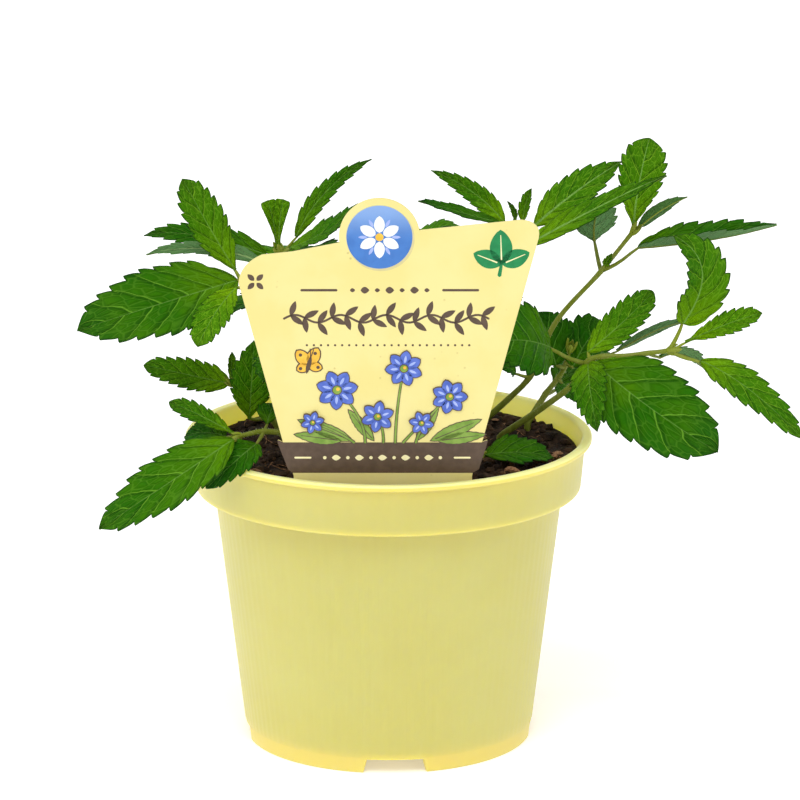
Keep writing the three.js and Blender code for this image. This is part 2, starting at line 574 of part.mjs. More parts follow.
// A leaf is a closed strip of rows laid along its midrib: a square stalk, then a thin folded blade whose
// teeth lean towards the tip. Each face of the upper side has its twin on the lower side.
function leafGeometry(curve, leaf) {
  const { at, tip, base, width, face, bow, petiole, fold, swell } = { ...PLAIN_LEAF, ...leaf };
  const start = curve.getPoint(at / (curve.points.length - 1));
  const end = new THREE.Vector3(...tip);
  const stalkReach = end.clone().sub(start).setLength(petiole);
  const neck = base ? new THREE.Vector3(...base) : start.clone().add(stalkReach);
  const pull = neck.clone().add(end).multiplyScalar(0.5).addScaledVector(new THREE.Vector3(...bow), 2);
  const blade = new THREE.QuadraticBezierCurve3(neck, pull, end);
  const upperWay = new THREE.Vector3(...face);
  const rise = Math.tan(THREE.MathUtils.degToRad(fold));
  const points = [];
  const faces = [];

  const row = (centre, along, halfWidth, middleDepth, edgeDepth) => {
    const side = new THREE.Vector3().crossVectors(along, upperWay).normalize();
    const up = new THREE.Vector3().crossVectors(side, along).normalize();
    const put = (across, depth) => {
      const place = centre.clone().addScaledVector(side, across);
      place.addScaledVector(up, Math.abs(across) * rise);
      points.push(place, place.clone().addScaledVector(up, -depth));
      return points.length - 2;
    };
    return {
      left: put(-halfWidth, edgeDepth),
      middle: put(0, middleDepth),
      right: put(halfWidth, edgeDepth),
    };
  };
  const bladeRow = (t, halfWidth) => {
    const middleDepth = t < 1 ? MIDRIB_THICKNESS : BLADE_THICKNESS;
    return row(blade.getPoint(t), blade.getTangent(t), halfWidth, middleDepth, BLADE_THICKNESS);
  };
  const bothSides = (a, b, c) => faces.push(a, b, c, a + 1, c + 1, b + 1);
  const rim = (a, b) => faces.push(a, a + 1, b + 1, a, b + 1, b);
  const join = (last, next) => {
    bothSides(last.middle, last.right, next.right);
    bothSides(last.middle, next.right, next.middle);
    bothSides(last.middle, next.left, last.left);
    bothSides(last.middle, next.middle, next.left);
  };
  const plainEdges = (last, next) => {
    rim(last.right, next.right);
    rim(next.left, last.left);
  };
  const toothedEdges = (last, tooth, next) => {
    bothSides(last.right, tooth.right, next.right);
    bothSides(next.left, tooth.left, last.left);
    plainEdges(last, tooth);
    plainEdges(tooth, next);
  };

  const stalkAlong = neck.clone().sub(start).normalize();
  const root = row(start, stalkAlong, STALK_HALF_WIDTH, STALK_THICKNESS, STALK_THICKNESS);
  faces.push(root.middle, root.left, root.left + 1, root.middle, root.left + 1, root.middle + 1);
  faces.push(root.middle, root.middle + 1, root.right + 1, root.middle, root.right + 1, root.right);
  let last = row(neck, blade.getTangent(0), STALK_HALF_WIDTH, STALK_THICKNESS, STALK_THICKNESS);
  join(root, last);
  plainEdges(root, last);

  const rough = Math.round(blade.getLength() / TOOTH_SPACING);
  const teeth = THREE.MathUtils.clamp(rough, FEWEST_TEETH, MOST_TEETH);
  const step = (1 - FIRST_TOOTH) / teeth;
  for (let i = 0; i <= teeth; i += 1) {
    const t = i < teeth ? FIRST_TOOTH + i * step : 1;
    const next = bladeRow(t, (width / 2) * bladeShare(t, swell) * NOTCH_SHARE);
    join(last, next);
    if (i === 0 || i === teeth) {
      plainEdges(last, next);
    } else {
      const peak = t - step * (1 - TOOTH_LEAN);
      toothedEdges(last, bladeRow(peak, (width / 2) * bladeShare(peak, swell) + TOOTH_REACH), next);
    }
    last = next;
  }

  const places = points.flatMap((place) => place.toArray());
  const geometry = new THREE.BufferGeometry();
  geometry.setAttribute("position", new THREE.Float32BufferAttribute(places, 3));
  geometry.setIndex(faces);
  return geometry;
}

function stemGeometry(curve) {
  const corners = [];
  for (let i = 0; i < STEM_SIDES; i += 1) {
    const turn = (i * 2 * Math.PI) / STEM_SIDES;
    corners.push(new THREE.Vector2(STEM_RADIUS * Math.cos(turn), STEM_RADIUS * Math.sin(turn)));
  }
  const steps = (curve.points.length - 1) * STEPS_PER_POINT;
  const options = { steps, bevelEnabled: false, extrudePath: curve };
  return new THREE.ExtrudeGeometry(new THREE.Shape(corners), options);
}

function rootGeometry([x, y, top]) {
  const length = top - STEM_ROOT_Z + STEM_RADIUS / 2;
  const geometry = new THREE.CylinderGeometry(STEM_RADIUS, STEM_RADIUS, length, STEM_SIDES);
  geometry.rotateX(Math.PI / 2);
  geometry.translate(x, y, STEM_ROOT_Z + length / 2);
  return geometry;
}

function makeLeafyStem({ path, leaves }) {
  const places = path.map((place) => new THREE.Vector3(...place));
  const curve = new THREE.CatmullRomCurve3(places, false, "centripetal");
  let plant = solid(rootGeometry(path[0])).add(solid(stemGeometry(curve)));
  for (const leaf of leaves) {
    plant = plant.add(solid(leafGeometry(curve, leaf)));
  }
  return plant;
}

// Whole object
const group = new THREE.Group();
group.name = "potted_pepper_sage";
group.position.set(POT_AXIS[0], POT_AXIS[1], 0);
group.add(meshOf("pot", makePot(), COLOURS.pot, 0.45));
group.add(meshOf("soil", makeSoil(), COLOURS.soil, 0.95));
group.add(meshOf("label", solid(labelPlate(0)), COLOURS.label, 0.5));
for (const stem of STEMS) {
  group.add(meshOf(stem.name, makeLeafyStem(stem), COLOURS.leaf, 0.55));
}

export default group;
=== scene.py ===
# Potted pepper sage, dressed: a fine pot, crumbly soil, a printed card and wrinkled, toothed leaves.
# Lengths are in millimetres from the pot's own axis, and to_frame() puts them in metres in the row's frame.
import math
import random
from dataclasses import dataclass
from types import SimpleNamespace

import bpy
import numpy as np
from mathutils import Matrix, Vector, noise
from mathutils.geometry import tessellate_polygon


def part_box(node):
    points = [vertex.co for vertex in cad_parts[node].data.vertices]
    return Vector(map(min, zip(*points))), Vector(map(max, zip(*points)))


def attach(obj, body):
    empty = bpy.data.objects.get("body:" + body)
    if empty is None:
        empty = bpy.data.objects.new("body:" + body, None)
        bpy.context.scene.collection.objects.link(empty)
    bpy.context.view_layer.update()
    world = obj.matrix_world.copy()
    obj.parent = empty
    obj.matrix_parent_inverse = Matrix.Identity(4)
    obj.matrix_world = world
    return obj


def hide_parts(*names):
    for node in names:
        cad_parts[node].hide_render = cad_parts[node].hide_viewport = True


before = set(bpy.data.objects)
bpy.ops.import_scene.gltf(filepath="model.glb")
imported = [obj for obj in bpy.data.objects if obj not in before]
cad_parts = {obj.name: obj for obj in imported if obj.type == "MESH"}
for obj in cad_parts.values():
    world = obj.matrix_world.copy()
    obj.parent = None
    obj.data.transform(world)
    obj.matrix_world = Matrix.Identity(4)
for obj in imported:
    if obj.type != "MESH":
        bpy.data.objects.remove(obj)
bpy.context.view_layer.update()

MM = 0.001
POT_LOW, POT_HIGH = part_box("pot")
POT_AXIS = np.array([(POT_LOW.x + POT_HIGH.x) / 2, (POT_LOW.y + POT_HIGH.y) / 2, 0.0])

# Pot
POT_HEIGHT = 91.6
LIP_RADIUS = 60
LIP_DEPTH = 1.8
BAND_TOP_RADIUS = 58.1
BAND_FOOT_RADIUS = 56.8
BAND_FOOT_Z = 75.7
BODY_FOOT_RADIUS = 42.3
BODY_FLARE = 0.1216
WALL = 1.2
FLOOR_UNDERSIDE_Z = 4.4
FLOOR_THICKNESS = 1.4
FOOT_RING_WIDTH = 2.3
FOOT_STEP = 0.12
NOTCH_COUNT = 4
NOTCH_TOP_HALF = 8.4
NOTCH_FOOT_HALF = 9.45
NOTCH_HEIGHT = 4.1
NOTCH_CORNER = 1.1
NOTCH_TURN = math.radians(2.7)
DRAIN_COUNT = 4
DRAIN_RADIUS = 3.5
DRAIN_RING_RADIUS = 30
FLUTE_COUNT = 108
FLUTE_DEPTH = 0.07
FLUTE_SAMPLES = 6

# Soil
SOIL_EDGE_Z = 86.2
SOIL_EDGE_RADIUS = 55.8
SOIL_CROWN = 1.6
SOIL_RELIEF = 0.7
CLOD_RELIEF = 1.5
GRAIN_RELIEF = 0.35
SOIL_GAP = 0.35
CLOD_COUNT = 1500
FIBRE_COUNT = 150
CHIP_COUNT = 34
# Their x, y and length
LARGE_CHIPS = [(46, -14, 9), (36, -30, 5), (-38, -30, 6), (-44, -8, 5), (10, 40, 8), (-20, 44, 6)]

# Label: points on its own plane as x and z, before it leans
LABEL_THICKNESS = 0.8
LABEL_Y = -47
LABEL_LEAN = math.radians(5)
LABEL_HINGE_Z = 90
STAKE_HALF_WIDTH = 11
STAKE_POINT_HALF_WIDTH = 4
STAKE_POINT_LENGTH = 14
STAKE_TIP_Z = 46
STAKE_TOP_Z = 77
CARD_FOOT_Z = 84
CARD_FOOT_CORNER = 3
CARD_FOOT_LEFT = (-27, 91.4)
CARD_FOOT_RIGHT = (24, 91.4)
# Each side of the strip at the card's foot: foot, edge, the three points of its round shoulder, neck
STRIP_LEFT = [(-27.3, 92.4), (-28.6, 93.5), (-31.4, 101.3), (-31.8, 102.6), (-30.8, 102), (-30, 101.6)]
STRIP_RIGHT = [(24.2, 92.4), (25.9, 93.5), (28.2, 101.3), (28.6, 102.6), (27.6, 102), (26.8, 101.6)]
STRIP_FOOT_Z = STRIP_LEFT[0][1]
NECK_Z = STRIP_LEFT[-1][1]
CORNER_RIGHT = [(42.4, 162.7), (43.3, 167.5), (37.4, 168)]
CORNER_LEFT = [(-35.5, 157.7), (-41.6, 155), (-42.2, 149.5)]
TOP_BEND_RIGHT = (30.1, 167.2)
TOP_BEND_LEFT = (-27, 158.6)
BADGE_RIGHT_FOOT = (9.2, 165)
BADGE_LEFT_FOOT = (-13.6, 161.3)
BADGE_CENTRE = (-2.4, 163)
BADGE_RADIUS = 11.4
DISC_RADIUS = 9.3

# Leafy stems
STEM_RADIUS = 1.05
STEM_ROOT_Z = 80
PETIOLE_RADIUS = 0.62
PETIOLE_TAPER = (1.25, 0.9)
PETIOLE_SAG = 0.06  # as a share of its length
RIB_TAPER = (0.72, 0.2)
BLADE_THICKNESS = 0.42
HAIR_COUNT = 260  # on each stem
HAIR_LENGTH = 0.8
HAIR_RADIUS = 0.035
HAIR_START = 8  # points of a stem below its first hair
FIRST_TOOTH = 0.13
VEIN_SPAN = 1.5  # teeth from one side vein to the next
VEIN_LEAN = 1.5  # teeth that a side vein climbs on its way out, beyond the sweep of the rows
VEIN_SHIFT = 0.5  # teeth by which the two sides of a leaf differ
VEIN_START = -0.05  # puts the end of a vein at the point of a tooth

# Camera, as found from the pot in the photograph
CAMERA_DISTANCE = 1500
CAMERA_ELEVATION = math.radians(14.45)
CAMERA_TARGET = (3.38, 0, 101.55)
CAMERA_LENS = 229.3

# Studio, in metres and watts: glowing floor, even sky, a sun as the key and a strip light at the side
FLOOR_REACH = 6
FLOOR_GLOW = 0.3
WORLD_STRENGTH = 0.76
KEY_STRENGTH = 1.3
KEY_PLACE = (-0.25, -1.6, 2.3)
KEY_SOFTNESS = math.radians(34)
SIDE_POWER = 1.6
SIDE_PLACE = (-1.1, 0.18, 0.45)
SIDE_SIZE = (0.12, 0.9)


def to_frame(points):
    return np.asarray(points, float) * MM + POT_AXIS


def unit(vectors):
    return vectors / np.linalg.norm(vectors, axis=-1, keepdims=True)


def even_turns(count):
    return np.arange(count) * 2 * math.pi / count


def put(name, data):
    thing = bpy.data.objects.new(name, data)
    bpy.context.scene.collection.objects.link(thing)
    return thing


# Meshes
class Piece:
    """Gathers the vertices and faces of one piece. Marks are values of each vertex for the finishes."""

    def __init__(self, **marks):
        self.defaults = marks
        self.points = []
        self.faces = []
        self.finishes = []
        self.marks = {name: [] for name in marks}
        self.count = 0

    def add(self, points, faces, finish=0, **marks):
        points = np.asarray(points, float).reshape(-1, 3)
        for face in faces:
            self.faces.append([self.count + int(corner) for corner in face])
            self.finishes.append(finish)
        for name, default in self.defaults.items():
            value = np.asarray(marks.get(name, default), float)
            self.marks[name].append(np.broadcast_to(value, (len(points),) + np.shape(default)))
        self.points.append(points)
        self.count += len(points)

    def build(self, name, finishes, node, slot, crease=None):
        mesh = bpy.data.meshes.new(name)
        mesh.from_pydata(to_frame(np.concatenate(self.points)).tolist(), [], self.faces)
        for finish in finishes:
            mesh.materials.append(finish)
        mesh.polygons.foreach_set("material_index", self.finishes)
        corners = np.zeros(len(mesh.loops), np.int32)
        mesh.loops.foreach_get("vertex_index", corners)
        for mark, parts in self.marks.items():
            values = np.concatenate(parts)
            if values.ndim == 2:
                layer = mesh.uv_layers.new(name=mark)
                layer.uv.foreach_set("vector", values[corners].ravel().astype(np.float32))
            else:
                attribute = mesh.attributes.new(mark, "FLOAT", "POINT")
                attribute.data.foreach_set("value", values.astype(np.float32))
        mesh.validate()
        mesh.shade_smooth()
        if crease is not None:
            mesh.set_sharp_from_angle(angle=math.radians(crease))
        piece = put(name, mesh)
        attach(piece, "root")
        if node:
            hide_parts(node)
        return piece


def grid_faces(rows, columns, ring=False, flip=False):
    """Quads over rows of points. They face the way that across the row crossed with onward points."""
    row, column = np.meshgrid(np.arange(rows - 1), np.arange(columns if ring else columns - 1), indexing="ij")
    first = row * columns + column
    second = row * columns + (column + 1) % columns
    quads = np.stack([first, second, second + columns, first + columns], -1).reshape(-1, 4)
    return quads[:, ::-1] if flip else quads


def closed_faces(rows, sides, flip=False):
    """The faces of a tube with its two end caps."""
    faces = grid_faces(rows, sides, ring=True, flip=flip).tolist()
    for cap in (range(sides - 1, -1, -1), range((rows - 1) * sides, rows * sides)):
        faces.append(list(cap)[::-1] if flip else list(cap))
    return faces


def add_tube(piece, centres, radii, sides, finish, square=0.0, up=(0, 0, 1), **marks):
    """A closed tube along the centres. A square share above 0 gives it four soft corners."""
    centres = np.asarray(centres, float)
    ways = unit(np.gradient(centres, axis=0))
    across = unit(np.cross(ways, np.asarray(up, float) + 1e-4))
    above = np.cross(across, ways)
    turns = even_turns(sides)
    bulge = 1 + square * np.cos(4 * turns + math.pi)
    spread = np.asarray(radii, float)[:, None, None] * bulge[None, :, None]
    ring = across[:, None] * np.cos(turns)[:, None] + above[:, None] * np.sin(turns)[:, None]
    points = centres[:, None] + ring * spread
    spread_marks = {name: np.repeat(value, sides, axis=0) for name, value in marks.items()}
    piece.add(points, closed_faces(len(centres), sides, flip=True), finish, **spread_marks)


# Finishes
class Tone:
    """A value or colour of a finish. Arithmetic with it adds the nodes that work it out."""

    def __init__(self, finish, socket):
        self.finish = finish
        self.socket = socket

    def __add__(self, other):
        return self.finish.maths("ADD", self, other)

    def __sub__(self, other):
        return self.finish.maths("SUBTRACT", self, other)

    def __rsub__(self, other):
        return self.finish.maths("SUBTRACT", other, self)

    def __mul__(self, other):
        return self.finish.maths("MULTIPLY", self, other)

    def __truediv__(self, other):
        return self.finish.maths("DIVIDE", self, other)

    def __abs__(self):
        return self.finish.maths("ABSOLUTE", self)

    def step(self, low, high, least=0.0, most=1.0):
        """Runs smoothly from least at low to most at high, where low may be the larger."""
        values = [self, low, high, least, most]
        return self.finish.make("MapRange", values, interpolation_type="SMOOTHSTEP")


class Finish:
    """A procedural material. Each method adds one node and returns its output."""

    def __init__(self, name, roughness, specular, bump_height=0.0, bump_strength=1.0):
        self.material = bpy.data.materials.new(name)
        self.material.use_nodes = True
        self.tree = self.material.node_tree
        self.surface = self.tree.nodes["Principled BSDF"].inputs
        self.surface["Roughness"].default_value = roughness
        self.surface["Specular IOR Level"].default_value = specular
        self.bump_height = bump_height
        self.bump_strength = bump_strength

    def make(self, kind, values=(), output=0, **settings):
        node = self.tree.nodes.new("ShaderNode" + kind)
        for setting, value in settings.items():
            setattr(node, setting, value)
        pairs = values.items() if isinstance(values, dict) else enumerate(values)
        for socket, value in pairs:
            if isinstance(value, Tone):
                self.tree.links.new(value.socket, node.inputs[socket])
            else:
                node.inputs[socket].default_value = (*value, 1.0) if kind == "Mix" and socket else value
        return Tone(self, node.outputs[output])

    def maths(self, operation, *values):
        return self.make("Math", values, operation=operation)

    def place(self):
        return self.make("TexCoord", output="Object")

    def parts(self, vector):
        return [Tone(self, socket) for socket in self.make("SeparateXYZ", [vector]).socket.node.outputs]

    def uv(self, name):
        return self.parts(self.make("UVMap", uv_map=name))[:2]

    def mark(self, name):
        return self.make("Attribute", output="Fac", attribute_name=name)

    def noise(self, vector, scale, detail, rough=0.5):
        values = {"Vector": vector, "Scale": scale, "Detail": detail, "Roughness": rough}
        return self.make("TexNoise", values, output="Fac")

    def cells(self, vector, scale, feature="DISTANCE_TO_EDGE"):
        return self.make("TexVoronoi", {"Vector": vector, "Scale": scale}, output="Distance", feature=feature)

    def stretch(self, vector, *factors):
        return self.make("VectorMath", [vector, factors], operation="MULTIPLY")

    def mix(self, share, first, second):
        return self.make("Mix", {0: share, 6: first, 7: second}, output=2, data_type="RGBA")

    def done(self, colour, height=None, roughness=None):
        ends = {"Base Color": colour, "Roughness": roughness}
        if height:
            values = {"Height": height, "Distance": self.bump_height * MM, "Strength": self.bump_strength}
            ends["Normal"] = self.make("Bump", values)
        for name, tone in ends.items():
            if tone:
                self.tree.links.new(tone.socket, self.surface[name])
        return self.material


def pot_finish():
    pot = Finish("pot_plastic", 0.42, 0.45, bump_height=0.05, bump_strength=0.5)
    pot.surface["Subsurface Weight"].default_value = 0.8
    pot.surface["Subsurface Radius"].default_value = (1.0, 0.8, 0.25)
    pot.surface["Subsurface Scale"].default_value = 0.008
    place = pot.place()
    cloud = pot.noise(place, 28, 4)
    streak = pot.noise(pot.stretch(place, 1, 1, 0.06), 240, 3)
    colour = pot.mix(cloud.step(0.35, 0.7), (0.745, 0.595, 0.150), (0.77, 0.625, 0.175))
    colour = pot.mix(streak.step(0.5, 0.75, 0, 0.12), colour, (0.79, 0.66, 0.21))
    colour = pot.mix(pot.mark("lit"), colour, (0.95, 0.87, 0.35))
    height = streak * 0.2 + pot.noise(place, 1600, 2) * 0.5
    return pot.done(colour, height, cloud.step(0.2, 0.8, 0.36, 0.5))


def soil_finish():
    soil = Finish("soil_peat", 0.92, 0.25, bump_height=0.5)
    place = soil.place()
    clumps = soil.noise(place, 210, 6, 0.7)
    specks = soil.cells(place, 1300, "F1")
    colour = soil.mix(clumps.step(0.35, 0.7), (0.010, 0.0055, 0.0035), (0.060, 0.030, 0.016))
    colour = soil.mix(soil.mark("tone") * 0.9, colour, (0.16, 0.085, 0.042))
    colour = soil.mix(specks.step(0.22, 0.05, 0, 0.45), colour, (0.12, 0.07, 0.04))
    return soil.done(colour, clumps + specks * 0.4)


def wood_finish():
    wood = Finish("soil_fibre", 0.85, 0.3, bump_height=0.2)
    grain = wood.noise(wood.stretch(wood.place(), 1, 1, 3), 900, 4)
    return wood.done(wood.mix(grain.step(0.3, 0.7), (0.10, 0.045, 0.02), (0.42, 0.22, 0.11)), grain)


def card_finish():
    card = Finish("card_sheet", 0.5, 0.4, bump_height=0.03)
    place = card.place()
    cloud = card.noise(place, 60, 4)
    colour = card.mix(cloud.step(0.35, 0.65), (0.79, 0.685, 0.25), (0.81, 0.72, 0.295))
    flecks = card.cells(place, 330, "F1").step(0.16, 0.06)
    rare = card.noise(place, 130, 2).step(0.56, 0.66, 0, 0.55)
    return card.done(card.mix(flecks * rare, colour, (0.45, 0.36, 0.12)), card.noise(place, 900, 3))


def ink_finish(name, dark, light):
    ink = Finish(name, 0.48, 0.4, bump_height=0.01)
    mottle = ink.noise(ink.place(), 420, 4)
    return ink.done(ink.mix(mottle.step(0.3, 0.7), dark, light), mottle)


def disc_finish():
    """Blue print that is paler towards its top."""
    disc = Finish("ink_blue_disc", 0.35, 0.5, bump_height=0.01)
    place = disc.place()
    low, high = (BADGE_CENTRE[1] - 2) * MM, (BADGE_CENTRE[1] + DISC_RADIUS) * MM
    mottle = disc.noise(place, 300, 3)
    colour = disc.mix(mottle.step(0.3, 0.7), (0.035, 0.16, 0.50), (0.045, 0.19, 0.56))
    pale = disc.parts(place)[2].step(low, high, 0, 0.7)
    return disc.done(disc.mix(pale, colour, (0.30, 0.47, 0.80)), mottle)


def vein_masks(leaf, young):
    """How much of each spot is midrib, side vein and net of fine veins."""
    side, phase = leaf.uv("veins")
    across, along = leaf.uv("blade")
    out = abs(side)
    wander = leaf.noise(leaf.make("CombineXYZ", [side * 2.0, phase]), 0.9, 1)
    right = leaf.maths("GREATER_THAN", side, 0.0) * VEIN_SHIFT
    run = (phase + (1.0 - out) * VEIN_LEAN + (right + VEIN_START) + wander * 0.5) / VEIN_SPAN
    turn = leaf.maths("FRACT", run) - 0.5
    strong = leaf.mark("rib")
    middle = abs(across) / (1.25 - along) / (strong + 0.6)
    cells = leaf.cells(leaf.make("CombineXYZ", [side * 3.4, run * 1.9]), young + 0.9)
    return SimpleNamespace(
        out=out, along=along, cells=cells,
        lateral=(abs(turn) / ((1.5 - out) * 0.048)).step(1.0, 0.35),
        midrib=middle.step(0.3, 0.1) * (strong + 0.45),
        net=cells.step(0.085, 0.015),
        shadow=turn.step(0.02, 0.08) * turn.step(0.34, 0.1),
    )


def leaf_top_finish():
    leaf = Finish("leaf_top", 0.5, 0.03, bump_height=0.36)
    young = leaf.mark("young")
    grown = 1.0 - young
    veins = vein_masks(leaf, young)
    place = leaf.place()
    warm = young * young * 0.22 + veins.along.step(0.5, 0.0) * (young + 0.08)
    warm += leaf.noise(place, 90, 4).step(0.3, 0.7, -0.02, 0.14)
    colour = leaf.mix(young, (0.0135, 0.112, 0.001), (0.034, 0.168, 0.001))
    colour = leaf.mix(warm, colour, (0.185, 0.385, 0.001))
    colour = leaf.mix(veins.along.step(0.6, 1.0, 0, 0.6) * grown, colour, (0.012, 0.08, 0.008))
    # painted shade: grown leaves are darker at the edges of the net's cells, in the grooves beside the fine
    # veins
    colour = leaf.mix(veins.cells.step(0.02, 0.3, 0.3, 0) * grown, colour, (0.006, 0.05, 0.001))
    colour = leaf.mix(veins.shadow * 0.5, colour, (0.004, 0.042, 0.001))
    lines = leaf.maths("MAXIMUM", veins.net * (young * 0.5 + 0.12), veins.lateral)
    pale = leaf.mix(young, (0.10, 0.29, 0.03), (0.26, 0.52, 0.015))
    colour = leaf.mix(lines * 0.75, colour, pale)
    colour = leaf.mix(veins.midrib * 0.65, colour, (0.22, 0.43, 0.09))
    colour = leaf.mix(veins.out.step(0.93, 1.0, 0, 0.75), colour, (0.010, 0.042, 0.006))
    height = veins.cells.step(0.0, 0.3) * (0.9 - young * 0.6) - veins.lateral * 0.6
    return leaf.done(colour, height + leaf.noise(place, 1500, 2) * 0.15)


def leaf_under_finish():
    leaf = Finish("leaf_under", 0.62, 0.08, bump_height=0.3, bump_strength=0.8)
    young = leaf.mark("young")
    veins = vein_masks(leaf, young)
    cloud = leaf.noise(leaf.place(), 120, 3)
    colour = leaf.mix(young, (0.125, 0.27, 0.10), (0.05, 0.16, 0.012))
    colour = leaf.mix(cloud.step(0.3, 0.7, 0, 0.3), colour, (0.09, 0.21, 0.06))
    colour = leaf.mix(veins.shadow * 0.25, colour, (0.03, 0.10, 0.02))
    lines = leaf.maths("MAXIMUM", veins.net * 0.2, veins.lateral * 0.7)
    lines = leaf.maths("MAXIMUM", lines, veins.midrib)
    colour = leaf.mix(lines * 0.7, colour, (0.28, 0.42, 0.16))
    return leaf.done(colour, veins.lateral * 0.9 + veins.net)


def stem_finish():
    stem = Finish("stem_skin", 0.5, 0.2, bump_height=0.08)
    streak = stem.noise(stem.stretch(stem.place(), 1, 1, 0.25), 700, 4)
    colour = stem.mix(stem.mark("young"), (0.115, 0.145, 0.012), (0.23, 0.29, 0.015))
    return stem.done(stem.mix(streak.step(0.35, 0.7, 0, 0.5), colour, (0.25, 0.28, 0.06)), streak)


def hair_finish():
    hair = Finish("stem_hair", 0.5, 0.2, bump_height=0.01)
    tone = hair.noise(hair.place(), 500, 2)
    return hair.done(hair.mix(tone, (0.45, 0.52, 0.30), (0.62, 0.68, 0.45)), tone)


# Pot
def body_radius(z):
    return BODY_FOOT_RADIUS + BODY_FLARE * z


def arc(centre, radius, start, end, steps=5):
    turns = np.radians(np.linspace(start, end, steps))
    return [(centre[0] + radius * math.cos(a), centre[1] + radius * math.sin(a)) for a in turns]


def pot_profile():
    """Radius and height round the wall, from under the floor, up the outside and down the inside."""
    floor_top = FLOOR_UNDERSIDE_Z + FLOOR_THICKNESS
    ring_inside = BODY_FOOT_RADIUS - FOOT_RING_WIDTH
    lip_under = POT_HEIGHT - LIP_DEPTH
    outer_foot = BODY_FOOT_RADIUS - 0.6
    wall_heights = [3, FLOOR_UNDERSIDE_Z, 4.9, 5.1, 8, 14, 22, 32, 44, 56, 66, 72, BAND_FOOT_Z - 1.1]
    profile = [(r, FLOOR_UNDERSIDE_Z) for r in (1, 18, 26, 34, ring_inside - 0.5)]
    profile += arc((ring_inside - 0.4, FLOOR_UNDERSIDE_Z - 0.4), 0.4, 90, 0, 4)
    profile += [(ring_inside, 2)]
    profile += arc((ring_inside + 0.4, 0.4), 0.4, 180, 270, 4)
    profile += arc((outer_foot, 0.6), 0.6, 270, 353, 6)
    profile += [(body_radius(z) - (FOOT_STEP if z < 5 else 0), z) for z in wall_heights]
    profile += arc((body_radius(BAND_FOOT_Z - 1) + 0.9, BAND_FOOT_Z - 0.9), 0.9, 180, 100, 5)
    profile += [(BAND_FOOT_RADIUS - 1.8, BAND_FOOT_Z)]
    profile += arc((BAND_FOOT_RADIUS - 0.9, BAND_FOOT_Z + 0.9), 0.9, 270, 355, 6)
    profile += [(BAND_FOOT_RADIUS + 0.35, 80), (BAND_FOOT_RADIUS + 0.85, 85.5)]
    profile += [(BAND_TOP_RADIUS - 0.05, lip_under - 0.9)]
    profile += arc((BAND_TOP_RADIUS + 0.7, lip_under - 0.7), 0.7, 170, 100, 4)
    profile += arc((LIP_RADIUS - 0.8, lip_under + 0.8), 0.8, 275, 360, 5)
    profile += arc((LIP_RADIUS - 0.8, POT_HEIGHT - 0.8), 0.8, 5, 90, 5)
    profile += [(BAND_TOP_RADIUS + 0.2, POT_HEIGHT)]
    profile += arc((BAND_TOP_RADIUS - 0.3, POT_HEIGHT - 0.8), 0.8, 80, 175, 5)
    profile += [(BAND_FOOT_RADIUS - WALL + 0.5, 84), (BAND_FOOT_RADIUS - WALL, BAND_FOOT_Z + WALL)]
    profile += [(body_radius(BAND_FOOT_Z) - WALL, BAND_FOOT_Z + WALL - 0.3)]
    profile += [(body_radius(z) - WALL, z) for z in (60, 40, 20)]
    profile += [(body_radius(floor_top) - WALL, floor_top), (34, floor_top), (26, floor_top), (1, floor_top)]
    return np.array(profile)


def notch_lift(arc_length):
    """Height of the foot's underside at a distance round the foot from a notch's middle."""
    slope = NOTCH_HEIGHT / (NOTCH_FOOT_HALF - NOTCH_TOP_HALF)
    side = (NOTCH_FOOT_HALF - np.abs(arc_length)) * slope
    # the smaller of the side and the top, joined by a round corner
    gap = np.clip(0.5 + (NOTCH_HEIGHT - side) / (2 * NOTCH_CORNER), 0, 1)
    joined = side * gap + NOTCH_HEIGHT * (1 - gap) - NOTCH_CORNER * gap * (1 - gap)
    return np.clip(joined, 0, NOTCH_HEIGHT)


def pot_turns():
    """Angles of the pot's columns: even ones for the flutes and closer ones at the sides of the notches."""
    turns = list(even_turns(FLUTE_COUNT * FLUTE_SAMPLES))
    for i in range(NOTCH_COUNT):
        middle = NOTCH_TURN - math.pi / 2 + i * 2 * math.pi / NOTCH_COUNT
        for reach in np.arange(NOTCH_TOP_HALF - 1.2, NOTCH_FOOT_HALF + 0.2, 0.13):
            turns += [middle + reach / BODY_FOOT_RADIUS, middle - reach / BODY_FOOT_RADIUS]
    return np.unique(np.round(np.mod(turns, 2 * math.pi), 6))


